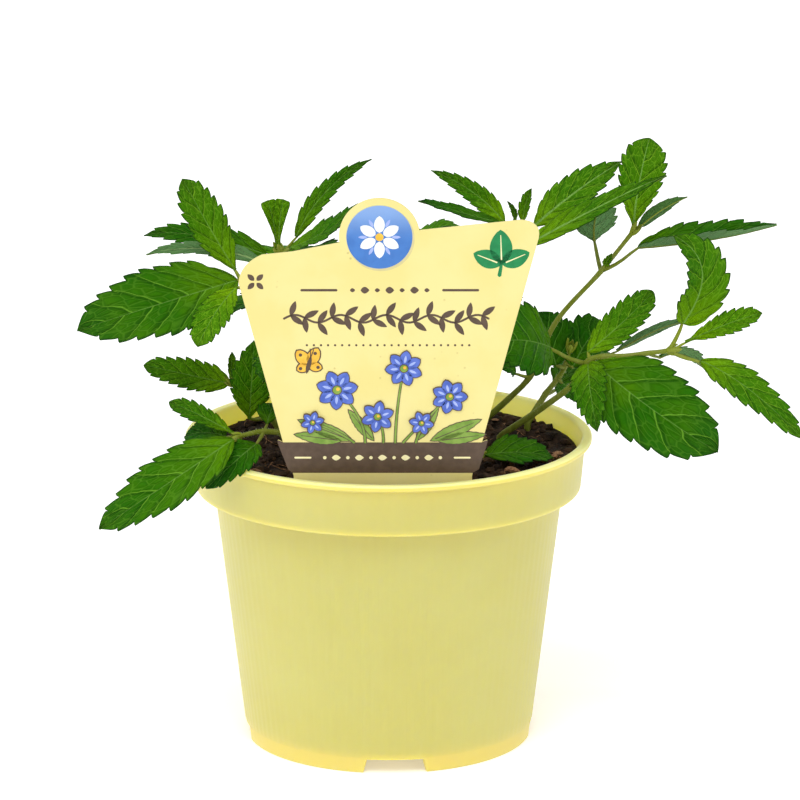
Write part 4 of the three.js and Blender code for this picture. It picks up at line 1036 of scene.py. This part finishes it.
# Each path runs from the soil through the nodes of a stem, and bud is the size of the bud at its top.
# The leaves are those of the solids, but for a few young or narrow ones.
STEMS = [
    dict(name="stem_left_high", bud=0, path=[
        (-19, -9, 89), (-27, -10, 112), (-37, -9, 130), (-43, -8, 140),
    ], leaves=[
        Leaf(3, (-89.2, -32, 130.6), 23, (0, -0.75, 0.66), (0, -1, 0.3), 0.28, petiole=1, swell=(0.58, 0.72)),
        Leaf(2.8, (-54.9, -31, 125.4), 10.5, (-0.3, -0.85, 0.4), (-0.4, -1, 1.4), 0.8,
             base=(-43.9, -15, 139.4), swell=(0.8, 0.65)),
        Leaf(3, (-59.4, -6, 169.5), 12, (0.35, -0.9, 0.3), (-1, -0.5, 1), 0.6, petiole=3, swell=(0.75, 0.7)),
        Leaf(1, (-36, -34, 116), 14, (0, -0.5, 0.8), (0, 0, 3), 0.25),
    ]),
    dict(name="stem_left_tip", path=[(-12, 6, 89), (-18, 9, 112), (-25, 8, 132), (-31.5, 6, 144.5)], leaves=[
        Leaf(3, (-35.4, 7, 160), 4.6, (0.1, -1, 0.1), (0.4, 0, 0.3), 0.95, base=(-32.6, 6.6, 145.5),
             petiole=1, fold=14, swell=(1.15, 0.1), nicks=0.2),
        Leaf(3, (-30.8, 5, 160.7), 4.6, (-0.1, -1, 0.1), (-0.4, 0, 0.3), 0.9, base=(-32.2, 5.4, 145.5),
             petiole=1, fold=14, swell=(1.15, 0.1), nicks=0.2),
        Leaf(3, (-5, 8, 172.3), 6.2, (-0.35, -0.8, 0.5), (-2, 0, 2.2), 0.4, base=(-27.2, 7, 149.2),
             swell=(0.5, 0.95)),
        Leaf(3, (-6, -8, 163), 11, (0, -0.4, 0.9), (-0.8, -0.5, -1.8), 0.35, base=(-29, 3, 147),
             swell=(0.6, 0.9)),
        Leaf(2.7, (-14.6, -14, 151.5), 10, (0, -0.15, 1), (0, 0, 2), 0.2),
        Leaf(2.9, (-73, 19, 147.8), 8.8, (0, -0.7, 0.7), (-1, -0.5, 2.5), 0.15, base=(-36, 9, 143.4),
             swell=(0.38, 0.85)),
        Leaf(2.8, (-71, 4, 144.6), 9, (0, -0.3, 0.95), (0, 0, 3), 0.3, base=(-36.6, 4, 142), swell=(0.5, 0.9),
             rib=1.0, turned=True),
        Leaf(1.6, (-12, -26, 124), 15, (0, -0.4, 0.9), (0, 0, 4), 0.2),
    ]),
    dict(name="stem_left_low", bud=0.6, path=[
        (-20, -24, 89), (-27, -26, 97), (-36, -28.5, 99.5), (-43, -30, 98.5),
    ], leaves=[
        Leaf(3, (-82.7, -55, 78), 17.5, (-0.15, -0.7, 0.7), (0, -3.5, 0.5), 0.35, base=(-44.5, -40, 100.3),
             swell=(0.58, 0.8)),
        Leaf(2, (-52.4, -43, 86.4), 10, (0, -0.7, 0.7), (1.7, -3, 2.6), 0.05, base=(-38, -33.5, 97.3),
             swell=(0.5, 0.7)),
        Leaf(3, (-63.7, -20, 106.4), 6.6, (0, -0.6, 0.8), (0.5, 0, 0.2), 0.6, petiole=2, swell=(0.9, 0.55)),
        Leaf(3, (-59.5, -19, 96), 9.5, (0, -0.5, 0.85), (0, 0, 1), 0.1, swell=(0.5, 0.6)),
        Leaf(2, (-33, -12, 104), 8, (0, -0.5, 0.8), (0, 0, 1), 0.3),
    ]),
    dict(name="stem_left_middle", bud=0.6, path=[
        (-30, 0, 89), (-35, -1, 97), (-41, 0, 102), (-46, 0, 106.5),
    ], leaves=[
        Leaf(3, (-72.2, 4, 111.5), 10, (0, -0.75, 0.65), (0.5, 0, -0.3), 0.65, petiole=1, swell=(0.38, 0.55)),
        Leaf(3, (-45.8, -3, 116.8), 2.4, (0.3, -0.9, 0), (0, 0, 0), 0.9, base=(-46.3, -2, 108.8), fold=30,
             swell=(0.6, 0.6)),
        Leaf(1, (-39.1, -13, 122.8), 12.5, (0.1, -1, 0.35), (0, -1, -1), 0.55, base=(-40.8, -9, 98),
             swell=(1.1, 0.95)),
        Leaf(2.5, (-36, 32, 95), 13, (0, 0, 1), (0, 0, 3), 0.2),
    ]),
    dict(name="stem_right_high", path=[
        (28, 22, 89), (36, 20, 97), (42, 18, 104), (49.5, 13, 122), (62.5, 8, 138.6), (71.5, 5, 151),
    ], leaves=[
        Leaf(5, (76.3, 8, 178.5), 13.8, (0.1, -1, 0.15), (-0.7, 0, -0.3), 0.7, petiole=1, swell=(1.15, 0.58),
             rib=0.7),
        Leaf(5, (87.6, 14, 160), 4.8, (-0.3, 0.8, 0.3), (-0.8, -0.5, 0.6), 0.7, base=(73, 7, 151.9),
             swell=(0.8, 1.1), nicks=0.1),
        Leaf(4, (62.4, 13, 160), 12.8, (0, 0.95, 0.3), (-0.9, 0, -0.8), 0.0, base=(60.8, 16, 146),
             swell=(0.8, 0.6)),
        Leaf(4, (113, -5, 155.4), 10, (0, -0.14, 1), (-1, -0.5, -0.9), 0.15, base=(73, 2, 147.6), fold=42,
             swell=(0.5, 0.8), nicks=0.8, rib=1.0),
        Leaf(4, (65.3, 4, 144.6), 2.4, (0, -1, 0.2), (0, 0, 0), 0.8, petiole=2, fold=30),
        Leaf(2, (33, 13, 108), 8, (0, -0.5, 0.85), (0, 0, 1), 0.1),
    ]),
    dict(name="stem_middle_high", path=[(10, 8, 89), (16, 8, 110), (27, 6, 135), (38, 4, 149)], leaves=[
        Leaf(3, (12.4, 10, 168.8), 6.4, (-0.2, -0.85, 0.5), (1.9, 0, 0.8), 0.6, base=(33.8, 3, 154.5),
             swell=(0.55, 0.9), nicks=0.7),
        Leaf(3, (9, -8, 163.8), 6.2, (0, -0.35, 1), (-1.5, -0.5, 0.3), 0.1, base=(33.4, -1, 155),
             swell=(0.6, 0.9), nicks=0.4),
        Leaf(3, (41.5, 2, 164.7), 3.6, (-0.5, -0.8, 0), (-0.4, 0, 0), 0.7, fold=30, swell=(0.7, 0.7)),
        Leaf(3, (34.8, 4, 160.4), 1.8, (0, -1, 0), (0.8, 0, 0), 0.5, base=(37, 6, 154.3), fold=30),
        Leaf(3, (68.2, 12, 171), 11.5, (-0.15, -0.75, 0.6), (-1.4, 0, -0.2), 0.65, base=(42.5, 6, 152.5),
             swell=(0.8, 0.9), nicks=0.8, rib=1.0),
        Leaf(3, (80.3, -7, 170.9), 8.8, (-0.2, -0.55, 0.8), (0, -0.5, 0.6), 0.55, base=(41.8, 1, 148.8),
             swell=(0.4, 0.95), nicks=0.5, rib=1.0),
        Leaf(1.4, (2, -28, 128), 17, (0, -0.4, 0.9), (0, 0, 4), 0.2),
        Leaf(2, (20, -30, 139), 14, (0, -0.35, 0.9), (0, 0, 3), 0.2),
    ]),
    dict(name="stem_right_low", path=[
        (33, 6, 89), (45, 0, 99), (54, -3, 107), (59, -5, 115), (70, -6, 116.5), (82, -6, 118),
    ], leaves=[
        Leaf(3, (95.2, -32, 94.3), 25.8, (0.1, -0.85, 0.5), (-1.3, 0, -0.4), 0.25, petiole=2,
             swell=(0.5, 0.65)),
        Leaf(2.9, (60.5, -25, 98.5), 11.2, (-0.3, -0.85, 0.4), (-0.7, -2, 2), 0.45, petiole=0.5,
             swell=(0.4, 0.8)),
        Leaf(3, (77.7, 4, 133.5), 10.4, (-0.2, -0.85, 0.5), (0.3, 0, -0.5), 0.6, base=(58.4, -4, 117.2),
             swell=(0.5, 0.5)),
        Leaf(2.8, (28, -27, 124.6), 23, (0, -0.85, 0.5), (0, -4, 3), 0.1, base=(47.5, -8, 119.5),
             swell=(0.5, 0.7)),
        Leaf(5, (83, -21, 155.7), 15, (0.4, -0.9, 0.2), (6.5, -0.5, 2.4), 0.6, base=(86, -6, 126), fold=22,
             swell=(0.4, 0.75), rib=0.6),
        Leaf(5, (109, -8, 130), 7.4, (-0.2, -0.8, 0.6), (0.4, -0.5, 0.9), 0.85, base=(86.6, -7.5, 121),
             swell=(1.1, 0.8)),
        Leaf(3.4, (87, 15, 122.5), 3.6, (0, 0.95, 0.3), (0, 0, 0.7), 0.1, swell=(0.6, 0.6), nicks=0.2,
             rib=1.0),
        Leaf(5, (120.5, -26, 96), 10.8, (0.1, -0.7, 0.7), (-0.6, 0, 3.2), 0.6, base=(91, -9.5, 115.9),
             swell=(0.6, 0.8)),
        Leaf(4.5, (94, 12, 108), 8, (0, 0.5, 0.8), (0, 0, 3), 0.2),
    ]),
    dict(name="stem_right_inner", path=[(41.5, 21, 89), (47, 25, 97), (52, 25, 104), (54, 23, 111)], leaves=[
        Leaf(2.2, (44.5, 28, 121.5), 15.5, (0, -0.9, 0.4), (0, 0, 1), 0.0, base=(50, 22.5, 106.5), petiole=1,
             swell=(0.5, 0.7)),
        Leaf(2.4, (65, 31, 117.8), 16, (0, -0.7, 0.7), (0, 0, 2), 0.05, base=(55, 22.5, 106), petiole=1,
             swell=(0.5, 0.7)),
        Leaf(1, (66, 48, 101), 14, (0, 0.1, 1), (0, 0, 4), 0.2),
        Leaf(1.7, (56, 8, 99), 8, (0, -0.8, 0.5), (0, 0, 1), 0.05, petiole=4),
    ]),
    dict(name="stem_front_low", path=[(20, -22, 89), (22, -23, 90.5), (25, -23, 91.2)], leaves=[
        Leaf(2, (48.5, -20, 90), 15, (0, -0.3, 0.95), (0, 0, 1), 0.2, petiole=3),
        Leaf(1.5, (4, -35, 92), 12, (0, -0.2, 1), (0, 0, 3), 0.2, petiole=3),
    ]),
    dict(name="stem_back_left", path=[(-17, 27, 89), (-20, 34, 104), (-25, 42, 118), (-28, 47, 129)], leaves=[
        Leaf(1, (-35, 70, 96), 19, (0, 0.1, 1), (0, 0, 5), 0.1, swell=(0.7, 0.7)),
        Leaf(1, (-5, 10, 98), 14, (0, 0, 1), (0, 0, 3), 0.1),
        Leaf(2, (-48, 24, 122), 15, (-0.1, 0, 1), (0, 0, 4), 0.25, swell=(0.7, 0.7)),
        Leaf(2, (-12, 66, 112), 16, (0, 0.1, 1), (0, 0, 4), 0.25, swell=(0.7, 0.7)),
        Leaf(3, (-36, 70, 131), 12, (0, 0.2, 1), (0, 0, 3), 0.5),
        Leaf(3, (-20, 28, 138), 9, (0, -0.2, 1), (0, 0, 2), 0.5),
        Leaf(3, (-29, 50, 135), 5, (0, 1, 0), (0, 0, 0), 0.9, petiole=2, fold=35),
    ]),
    dict(name="stem_back_middle", path=[(0, 22, 89), (1, 27, 107), (2, 32, 124), (2, 36, 137)], leaves=[
        Leaf(1, (6, 66, 96), 19, (0, 0.2, 1), (0, 0, 6), 0.1, swell=(0.7, 0.7)),
        Leaf(1, (26, 16, 113), 14, (0, 0, 1), (0, 0, 3), 0.15),
        Leaf(2, (-14, 24, 126), 9, (0, 0, 1), (0, 0, 2), 0.3),
        Leaf(2, (9, 66, 122), 15, (0, 0.1, 1), (0, 0, 4), 0.25, swell=(0.7, 0.7)),
        Leaf(3, (22, 40, 145), 11, (0, 0, 1), (0, 0, 3), 0.5),
        Leaf(3, (-16, 42, 145), 10, (0, 0, 1), (0, 0, 3), 0.5),
        Leaf(3, (2, 38, 148), 5, (0, 1, 0), (0, 0, 0), 0.9, petiole=2, fold=35),
    ]),
    dict(name="stem_back_right", path=[(17, 32, 89), (22, 39, 103), (27, 46, 115), (30, 50, 125)], leaves=[
        Leaf(1, (33, 74, 94), 19, (0, 0.1, 1), (0, 0, 5), 0.1, swell=(0.7, 0.7)),
        Leaf(1, (40, 38, 110), 9, (0, 0, 1), (0, 0, 2), 0.15),
        Leaf(2, (37, 66, 114), 14, (0, 0.1, 1), (0, 0, 4), 0.25, swell=(0.7, 0.7)),
        Leaf(2, (14, 74, 116), 14, (0, 0.1, 1), (0, 0, 4), 0.25, swell=(0.7, 0.7)),
        Leaf(3, (36, 70, 132), 11, (0, 0.2, 1), (0, 0, 3), 0.5),
        Leaf(3, (24, 32, 131), 9, (0, -0.2, 1), (0, 0, 2), 0.5),
        Leaf(3, (31, 52, 134), 5, (0, 1, 0), (0, 0, 0), 0.9, petiole=2, fold=35),
    ]),
]

# Slots of the leafy stems' finishes
TOP, UNDER, SKIN, HAIR = 0, 1, 2, 3

# One tooth of a leaf's edge: how far through it, how far out, and how far its edge leans onwards
TOOTH_ROWS = [
    (0.0, 0.0, 0.0), (0.2, 0.34, 0.0), (0.4, 0.6, 0.1), (0.58, 0.8, 0.3),
    (0.72, 0.94, 0.7), (0.8, 1.0, 1.0), (0.86, 0.55, 0.8), (0.94, 0.08, 0.3),
]
BASE_ROWS = (0, 0.1, 0.25, 0.4, 0.55, 0.7, 0.85)
TIP_ROWS = (0, 0.12, 0.25, 0.4, 0.55, 0.7, 0.82, 0.92, 0.975, 1.0)
COLUMNS = np.array([0, 0.05, 0.11, 0.19, 0.29, 0.4, 0.51, 0.62, 0.73, 0.83, 0.91, 0.965, 1.0])
TOOTH_LEAN = 0.24  # share of a tooth's length
TOOTH_DEPTH = 1.5  # in the widest blades
FLATTEST_VEIN = 0.08  # how far a side vein climbs on its way out, as a share of the blade
STEEPEST_VEIN = 0.27
VEIN_CURVE = 1.3
TEETH_PER_BLADE = 8.5
SHORTEST_TOOTH = 3.2
LONGEST_TOOTH = 6.0
FEWEST_TEETH = 4
MOST_TEETH = 9
TOOTH_GROWTH = 4  # half width over which the teeth deepen
FOLD_SOFTNESS = 0.7
PILLOW_SHARE = 0.09  # how far the blade bulges between side veins, as a share of a tooth's length
MIDRIB_DEPTH = 0.16
MIDRIB_WIDTH = 0.45
MIDRIB_REACH = 1.1  # distance from the midrib over which the pillows rise
RIPPLE_SHARE = 0.028  # how far the edge waves, as a share of the width
RIPPLE_TURN = 1.9  # radians for each tooth
RIPPLE_SHIFT = 1.7  # radians between the two sides
TIP_CURL = (-0.04, 0.02)  # as a share of the length
CURL_START = 0.6
EDGE_THINNING = 0.45
WRINKLE_HEIGHT = 0.1
STALK_STEPS = 5
NET_OFFSET = 21  # a whole number of teeth and veins between the patterns of two leaves


def catmull_point(path, share):
    """A point of the centripetal Catmull-Rom curve through the path."""
    points = [np.array(p, float) for p in path]
    last = len(points) - 1
    place = last * share
    low = min(int(place), last - 1)
    weight = place - low
    p1, p2 = points[low], points[low + 1]
    p0 = points[low - 1] if low > 0 else 2 * points[0] - points[1]
    p3 = points[low + 2] if low + 2 <= last else 2 * points[last] - points[last - 1]
    d0, d1, d2 = (np.linalg.norm(b - a) ** 0.5 for a, b in ((p0, p1), (p1, p2), (p2, p3)))
    start = ((p1 - p0) / d0 - (p2 - p0) / (d0 + d1) + (p2 - p1) / d1) * d1
    end = ((p2 - p1) / d1 - (p3 - p1) / (d1 + d2) + (p3 - p2) / d2) * d1
    square = -3 * p1 + 3 * p2 - 2 * start - end
    cube = 2 * p1 - 2 * p2 + start + end
    return p1 + start * weight + square * weight ** 2 + cube * weight ** 3


def bezier(neck, pull, tip, t):
    t = np.asarray(t)[..., None]
    return (1 - t) ** 2 * neck + 2 * (1 - t) * t * pull + t ** 2 * tip


def bezier_way(neck, pull, tip, t):
    t = np.asarray(t)[..., None]
    return unit(2 * (1 - t) * (pull - neck) + 2 * t * (tip - pull))


def blade_share(t, swell):
    """Width of a blade along its length, as a share of its widest place. High powers give narrow ends."""
    base, tip = swell
    peak = base / (base + tip)
    return (t / peak) ** base * ((1 - t) / (1 - peak)) ** tip


def edge_rows(teeth):
    """For each row of a blade: its place on the edge, the tooth it is in, and the tooth's reach and lean."""
    step = (1 - FIRST_TOOTH) / teeth
    rows = [(FIRST_TOOTH * u, u - 1, 0, 0) for u in BASE_ROWS]
    for i in range(teeth - 1):
        rows += [(FIRST_TOOTH + (i + u) * step, i + u, reach, lean) for u, reach, lean in TOOTH_ROWS]
    for u in TIP_ROWS:
        rows.append((1 - step + step * u, teeth - 1 + u, 0.9 * math.sin(math.pi * min(u, 0.999) ** 0.6), 0))
    return np.array(rows).T


def sweep(q, climb):
    """How much further along the blade a row meets the edge than it leaves the midrib."""
    return climb * (1 - q) * q / (q + 0.08)


def blade_relief(leaf, across, s, t, edge_t, phase, length, teeth, dice):
    """Height of the upper side over the plain blade: fold, pillows, midrib, waves and the curl of its tip."""
    out = np.abs(s)[None, :]
    rise = math.tan(math.radians(leaf.fold))
    height = rise * (np.sqrt(across ** 2 + FOLD_SOFTNESS ** 2) - FOLD_SOFTNESS)
    run = phase[:, None] + VEIN_LEAN * (1 - out) + VEIN_SHIFT * (s[None, :] > 0) + VEIN_START + 0.25
    turn = np.mod(run / VEIN_SPAN, 1)
    pillow = np.abs(np.sin(math.pi * (turn - 0.5))) ** 0.7
    inner = (1 - np.exp(-np.abs(across) / MIDRIB_REACH)) * (1 - out ** 6)
    height += PILLOW_SHARE * length / teeth * pillow * inner
    height -= MIDRIB_DEPTH * np.exp(-(across / MIDRIB_WIDTH) ** 2)
    wave = dice.uniform(0, 6)
    left_right = np.where(s < 0, 0.0, RIPPLE_SHIFT)[None, :]
    ripple = np.sin(phase[:, None] * RIPPLE_TURN + wave + left_right) * (edge_t > 0.1)[:, None]
    height += RIPPLE_SHARE * leaf.width * out ** 2 * ripple
    curl = dice.uniform(*TIP_CURL) * length
    height += curl * np.clip((t - CURL_START) / (1 - CURL_START), 0, 1) ** 2
    return height


def border(rows, columns):
    """The outer points of a grid, in their order round it."""
    places = [(j, columns - 1) for j in range(rows)] + [(rows - 1, k) for k in range(columns - 2, -1, -1)]
    places += [(j, 0) for j in range(rows - 2, -1, -1)] + [(0, k) for k in range(1, columns - 1)]
    return [j * columns + k for j, k in places]


def add_blade(piece, neck, pull, leaf, number, dice, skins):
    """A blade between two skins. Returns the middle of its upper side and the way up there."""
    tip = np.array(leaf.tip, float)
    length = sum(np.linalg.norm(b - a) for a, b in ((neck, pull), (pull, tip), (neck, tip))) / 2
    tooth_length = min(LONGEST_TOOTH, max(SHORTEST_TOOTH, length / TEETH_PER_BLADE))
    teeth = int(min(MOST_TEETH, max(FEWEST_TEETH, round(length / tooth_length))))
    edge_t, phase, reach, lean = edge_rows(teeth)
    climb = min(STEEPEST_VEIN, max(FLATTEST_VEIN, leaf.width / 2 / length))
    dense = np.linspace(0, 1, 800)
    q = np.interp(edge_t, dense + sweep(dense, climb), dense)
    s = np.concatenate([-COLUMNS[:0:-1], COLUMNS])
    out = np.abs(s)[None, :]
    t = q[:, None] + sweep(q, climb)[:, None] * out ** VEIN_CURVE

    share = leaf.width / 2 * blade_share(edge_t, leaf.swell)
    depth = leaf.nicks * TOOTH_DEPTH * (1 - np.exp(-share / TOOTH_GROWTH))
    smooth_half = np.maximum(share - 0.7 * depth, 0.5 * (1 - edge_t) ** 0.3 + 0.04)
    rim = out ** 5
    across = s[None, :] * smooth_half[:, None] + np.sign(s)[None, :] * rim * (depth * reach)[:, None]
    along = bezier_way(neck, pull, tip, t)
    side = unit(np.cross(along, np.array(leaf.face, float)))
    up = unit(np.cross(side, along))

    height = blade_relief(leaf, across, s, t, edge_t, phase, length, teeth, dice)
    top = bezier(neck, pull, tip, t) + side * across[..., None] + up * height[..., None]
    top += along * (rim * (lean * TOOTH_LEAN * length / teeth)[:, None])[..., None]
    seed = dice.uniform(0, 500)
    for place in top.reshape(-1, 3):
        spot = Vector((place[0] * 0.9 + seed, place[1] * 0.9, place[2] * 0.9))
        place += WRINKLE_HEIGHT * noise.noise(spot) * up[0, 0]
    thick = BLADE_THICKNESS * (1 - EDGE_THINNING * out ** 4) * np.ones_like(height)
    bottom = top - up * thick[..., None]

    rows, columns = height.shape
    veins = np.stack(np.broadcast_arrays(s, phase[:, None] + NET_OFFSET * number), -1)
    blade = np.stack([across, t], -1)
    marks = dict(veins=veins.reshape(-1, 2), blade=blade.reshape(-1, 2), young=leaf.young, rib=leaf.rib)
    first, lower = piece.count, rows * columns
    piece.add(top, grid_faces(rows, columns), skins[0], **marks)
    piece.add(bottom, grid_faces(rows, columns, flip=True), skins[1], **marks)
    loop = [first + place for place in border(rows, columns)]
    for here, onward in zip(loop, loop[1:] + loop[:1]):
        piece.faces.append([here, here + lower, onward + lower, onward])
        piece.finishes.append(skins[0])
    return top[:, columns // 2], up[:, columns // 2]


def add_leaf(piece, path, number, dice, leaf):
    start = catmull_point(path, leaf.at / (len(path) - 1))
    tip = np.array(leaf.tip, float)
    neck = np.array(leaf.base, float) if leaf.base else start + leaf.petiole * unit(tip - start)
    pull = (neck + tip) / 2 + 2 * np.array(leaf.bow, float)
    skins = (UNDER, TOP) if leaf.turned else (TOP, UNDER)
    spine, up = add_blade(piece, neck, pull, leaf, number, dice, skins)
    shares = np.linspace(0, 1, STALK_STEPS + 1)[:-1, None]
    sag = np.sin(math.pi * shares) * np.array([0, 0, -PETIOLE_SAG * np.linalg.norm(neck - start)])
    stalk = start + shares * (neck - start) + sag - up[0] * 0.25 * shares
    rib = (spine - up * 0.5)[::3]
    centres = np.concatenate([stalk, rib])
    taper = np.concatenate([np.linspace(*PETIOLE_TAPER, len(stalk)), np.linspace(*RIB_TAPER, len(rib))])
    radii = PETIOLE_RADIUS * min(1.0, 0.45 + leaf.width / 26) * taper
    young = np.full(len(centres), min(1, leaf.young + 0.25))
    add_tube(piece, centres, radii, 8, SKIN, up=leaf.face, young=young)


def add_bud(piece, path, number, dice, size):
    """Two pairs of tiny leaves, still closed, at the top of a stem."""
    top = catmull_point(path, 1.0)
    way = unit(top - catmull_point(path, 0.94))
    aside = unit(np.cross(way, [0.3, 0.2, 1.0]))
    for turn, reach in ((0, 4.6), (math.pi, 4.2), (math.pi / 2, 3.2), (3 * math.pi / 2, 3.4)):
        outward = aside * math.cos(turn) + np.cross(way, aside) * math.sin(turn)
        tip = top + (way * reach + outward * 1.3) * size
        neck = top - way * 0.4 + outward * 0.35
        pull = (neck + tip) / 2 + outward * 0.9 * size
        scale = Leaf(0, tip, 2.2 * size, 0.2 * way - outward, None, 1.0, fold=30, swell=(0.7, 0.8))
        add_blade(piece, neck, pull, scale, number, dice, (SKIN, SKIN))
        number += 1


def add_hairs(piece, dice, centres, radii):
    """Short fine hairs that stand off a stem."""
    centres = np.asarray(centres, float)
    for _ in range(HAIR_COUNT):
        low = dice.randrange(HAIR_START, len(centres) - 1)
        step = centres[low + 1] - centres[low]
        way = unit(step)
        outward = unit(np.cross(way, [dice.gauss(0, 1), dice.gauss(0, 1), dice.gauss(0, 1)]))
        around = np.cross(way, outward)
        foot = centres[low] + dice.random() * step + outward * radii[low] * 0.9
        tip = foot + outward * HAIR_LENGTH * dice.uniform(0.5, 1) + way * dice.uniform(-0.1, 0.3)
        ring = [foot + HAIR_RADIUS * (math.cos(a) * way + math.sin(a) * around) for a in (0, 2.1, 4.2)]
        piece.add(ring + [tip], [(1, 0, 3), (2, 1, 3), (0, 2, 3), (0, 1, 2)], HAIR)


def make_leafy_stem(name, path, leaves, finishes, bud=0.8):
    dice = random.Random(name)
    piece = Piece(veins=(0.0, 0.0), blade=(0.0, 0.0), young=0.3, rib=0.4)
    for number, leaf in enumerate(leaves):
        add_leaf(piece, path, number, dice, leaf)
    if bud:
        add_bud(piece, path, len(leaves), dice, bud)
    last = len(path) - 1
    shares = np.linspace(0, 1, 10 * last + 1)
    centres = [np.array([*path[0][:2], STEM_ROOT_Z])] + [catmull_point(path, share) for share in shares]
    nodes = [leaf.at / last for leaf in leaves]
    radii = [STEM_RADIUS * 1.1]
    for share in shares:
        swell = max(math.exp(-((share - node) / 0.035) ** 2) for node in nodes)
        radii.append(STEM_RADIUS * (1.0 - 0.4 * share) * (1 + 0.2 * swell))
    young = np.concatenate([[0.1], 0.15 + 0.45 * shares])
    add_tube(piece, centres, radii, 16, SKIN, square=0.09, up=(0.31, 0.87, 0.1), young=young)
    add_hairs(piece, dice, centres, radii)
    piece.build(name.replace("stem_", "leafy_stem_"), finishes, name, "leaf")


# Studio
def aim(thing, place, target):
    thing.location = place
    thing.rotation_euler = (Vector(target) - Vector(place)).to_track_quat("-Z", "Y").to_euler()


def make_camera():
    data = bpy.data.cameras.new("camera")
    data.lens = CAMERA_LENS
    data.sensor_width = 36
    data.clip_end = 50
    camera = put("camera", data)
    target = to_frame(CAMERA_TARGET)
    back = np.array([0, -math.cos(CAMERA_ELEVATION), math.sin(CAMERA_ELEVATION)])
    aim(camera, target + back * CAMERA_DISTANCE * MM, target)
    bpy.context.scene.camera = camera


def make_floor():
    floor = Finish("floor_paper", 0.9, 0.0)
    tint = floor.noise(floor.place(), 3, 2)
    mesh = bpy.data.meshes.new("floor")
    corners = [(x * FLOOR_REACH, y * FLOOR_REACH, 0) for x, y in ((-1, -1), (1, -1), (1, 1), (-1, 1))]
    mesh.from_pydata(corners, [], [(0, 1, 2, 3)])
    mesh.materials.append(floor.done(floor.mix(tint, (0.93, 0.93, 0.93), (0.95, 0.95, 0.95))))
    floor.surface["Emission Color"].default_value = (1, 1, 1, 1)
    floor.surface["Emission Strength"].default_value = FLOOR_GLOW
    put("floor", mesh)


def make_lights():
    world = bpy.data.worlds.new("studio")
    bpy.context.scene.world = world
    world.use_nodes = True
    sky = world.node_tree.nodes["Background"].inputs
    sky["Color"].default_value = (1, 1, 1, 1)
    sky["Strength"].default_value = WORLD_STRENGTH
    sun = bpy.data.lights.new("key", "SUN")
    sun.energy = KEY_STRENGTH
    sun.angle = KEY_SOFTNESS
    aim(put("key", sun), KEY_PLACE, (0, 0, 0))
    strip = bpy.data.lights.new("strip", "AREA")
    strip.shape = "RECTANGLE"
    strip.size, strip.size_y = SIDE_SIZE
    strip.energy = SIDE_POWER
    aim(put("strip", strip), SIDE_PLACE, (0, 0, 0.06))


make_camera()
make_lights()
make_floor()
make_pot()
make_soil()
make_card()
make_print()
LEAF_FINISHES = [leaf_top_finish(), leaf_under_finish(), stem_finish(), hair_finish()]
for stem in STEMS:
    make_leafy_stem(finishes=LEAF_FINISHES, **stem)

bpy.context.scene.view_settings.view_transform = "Standard"
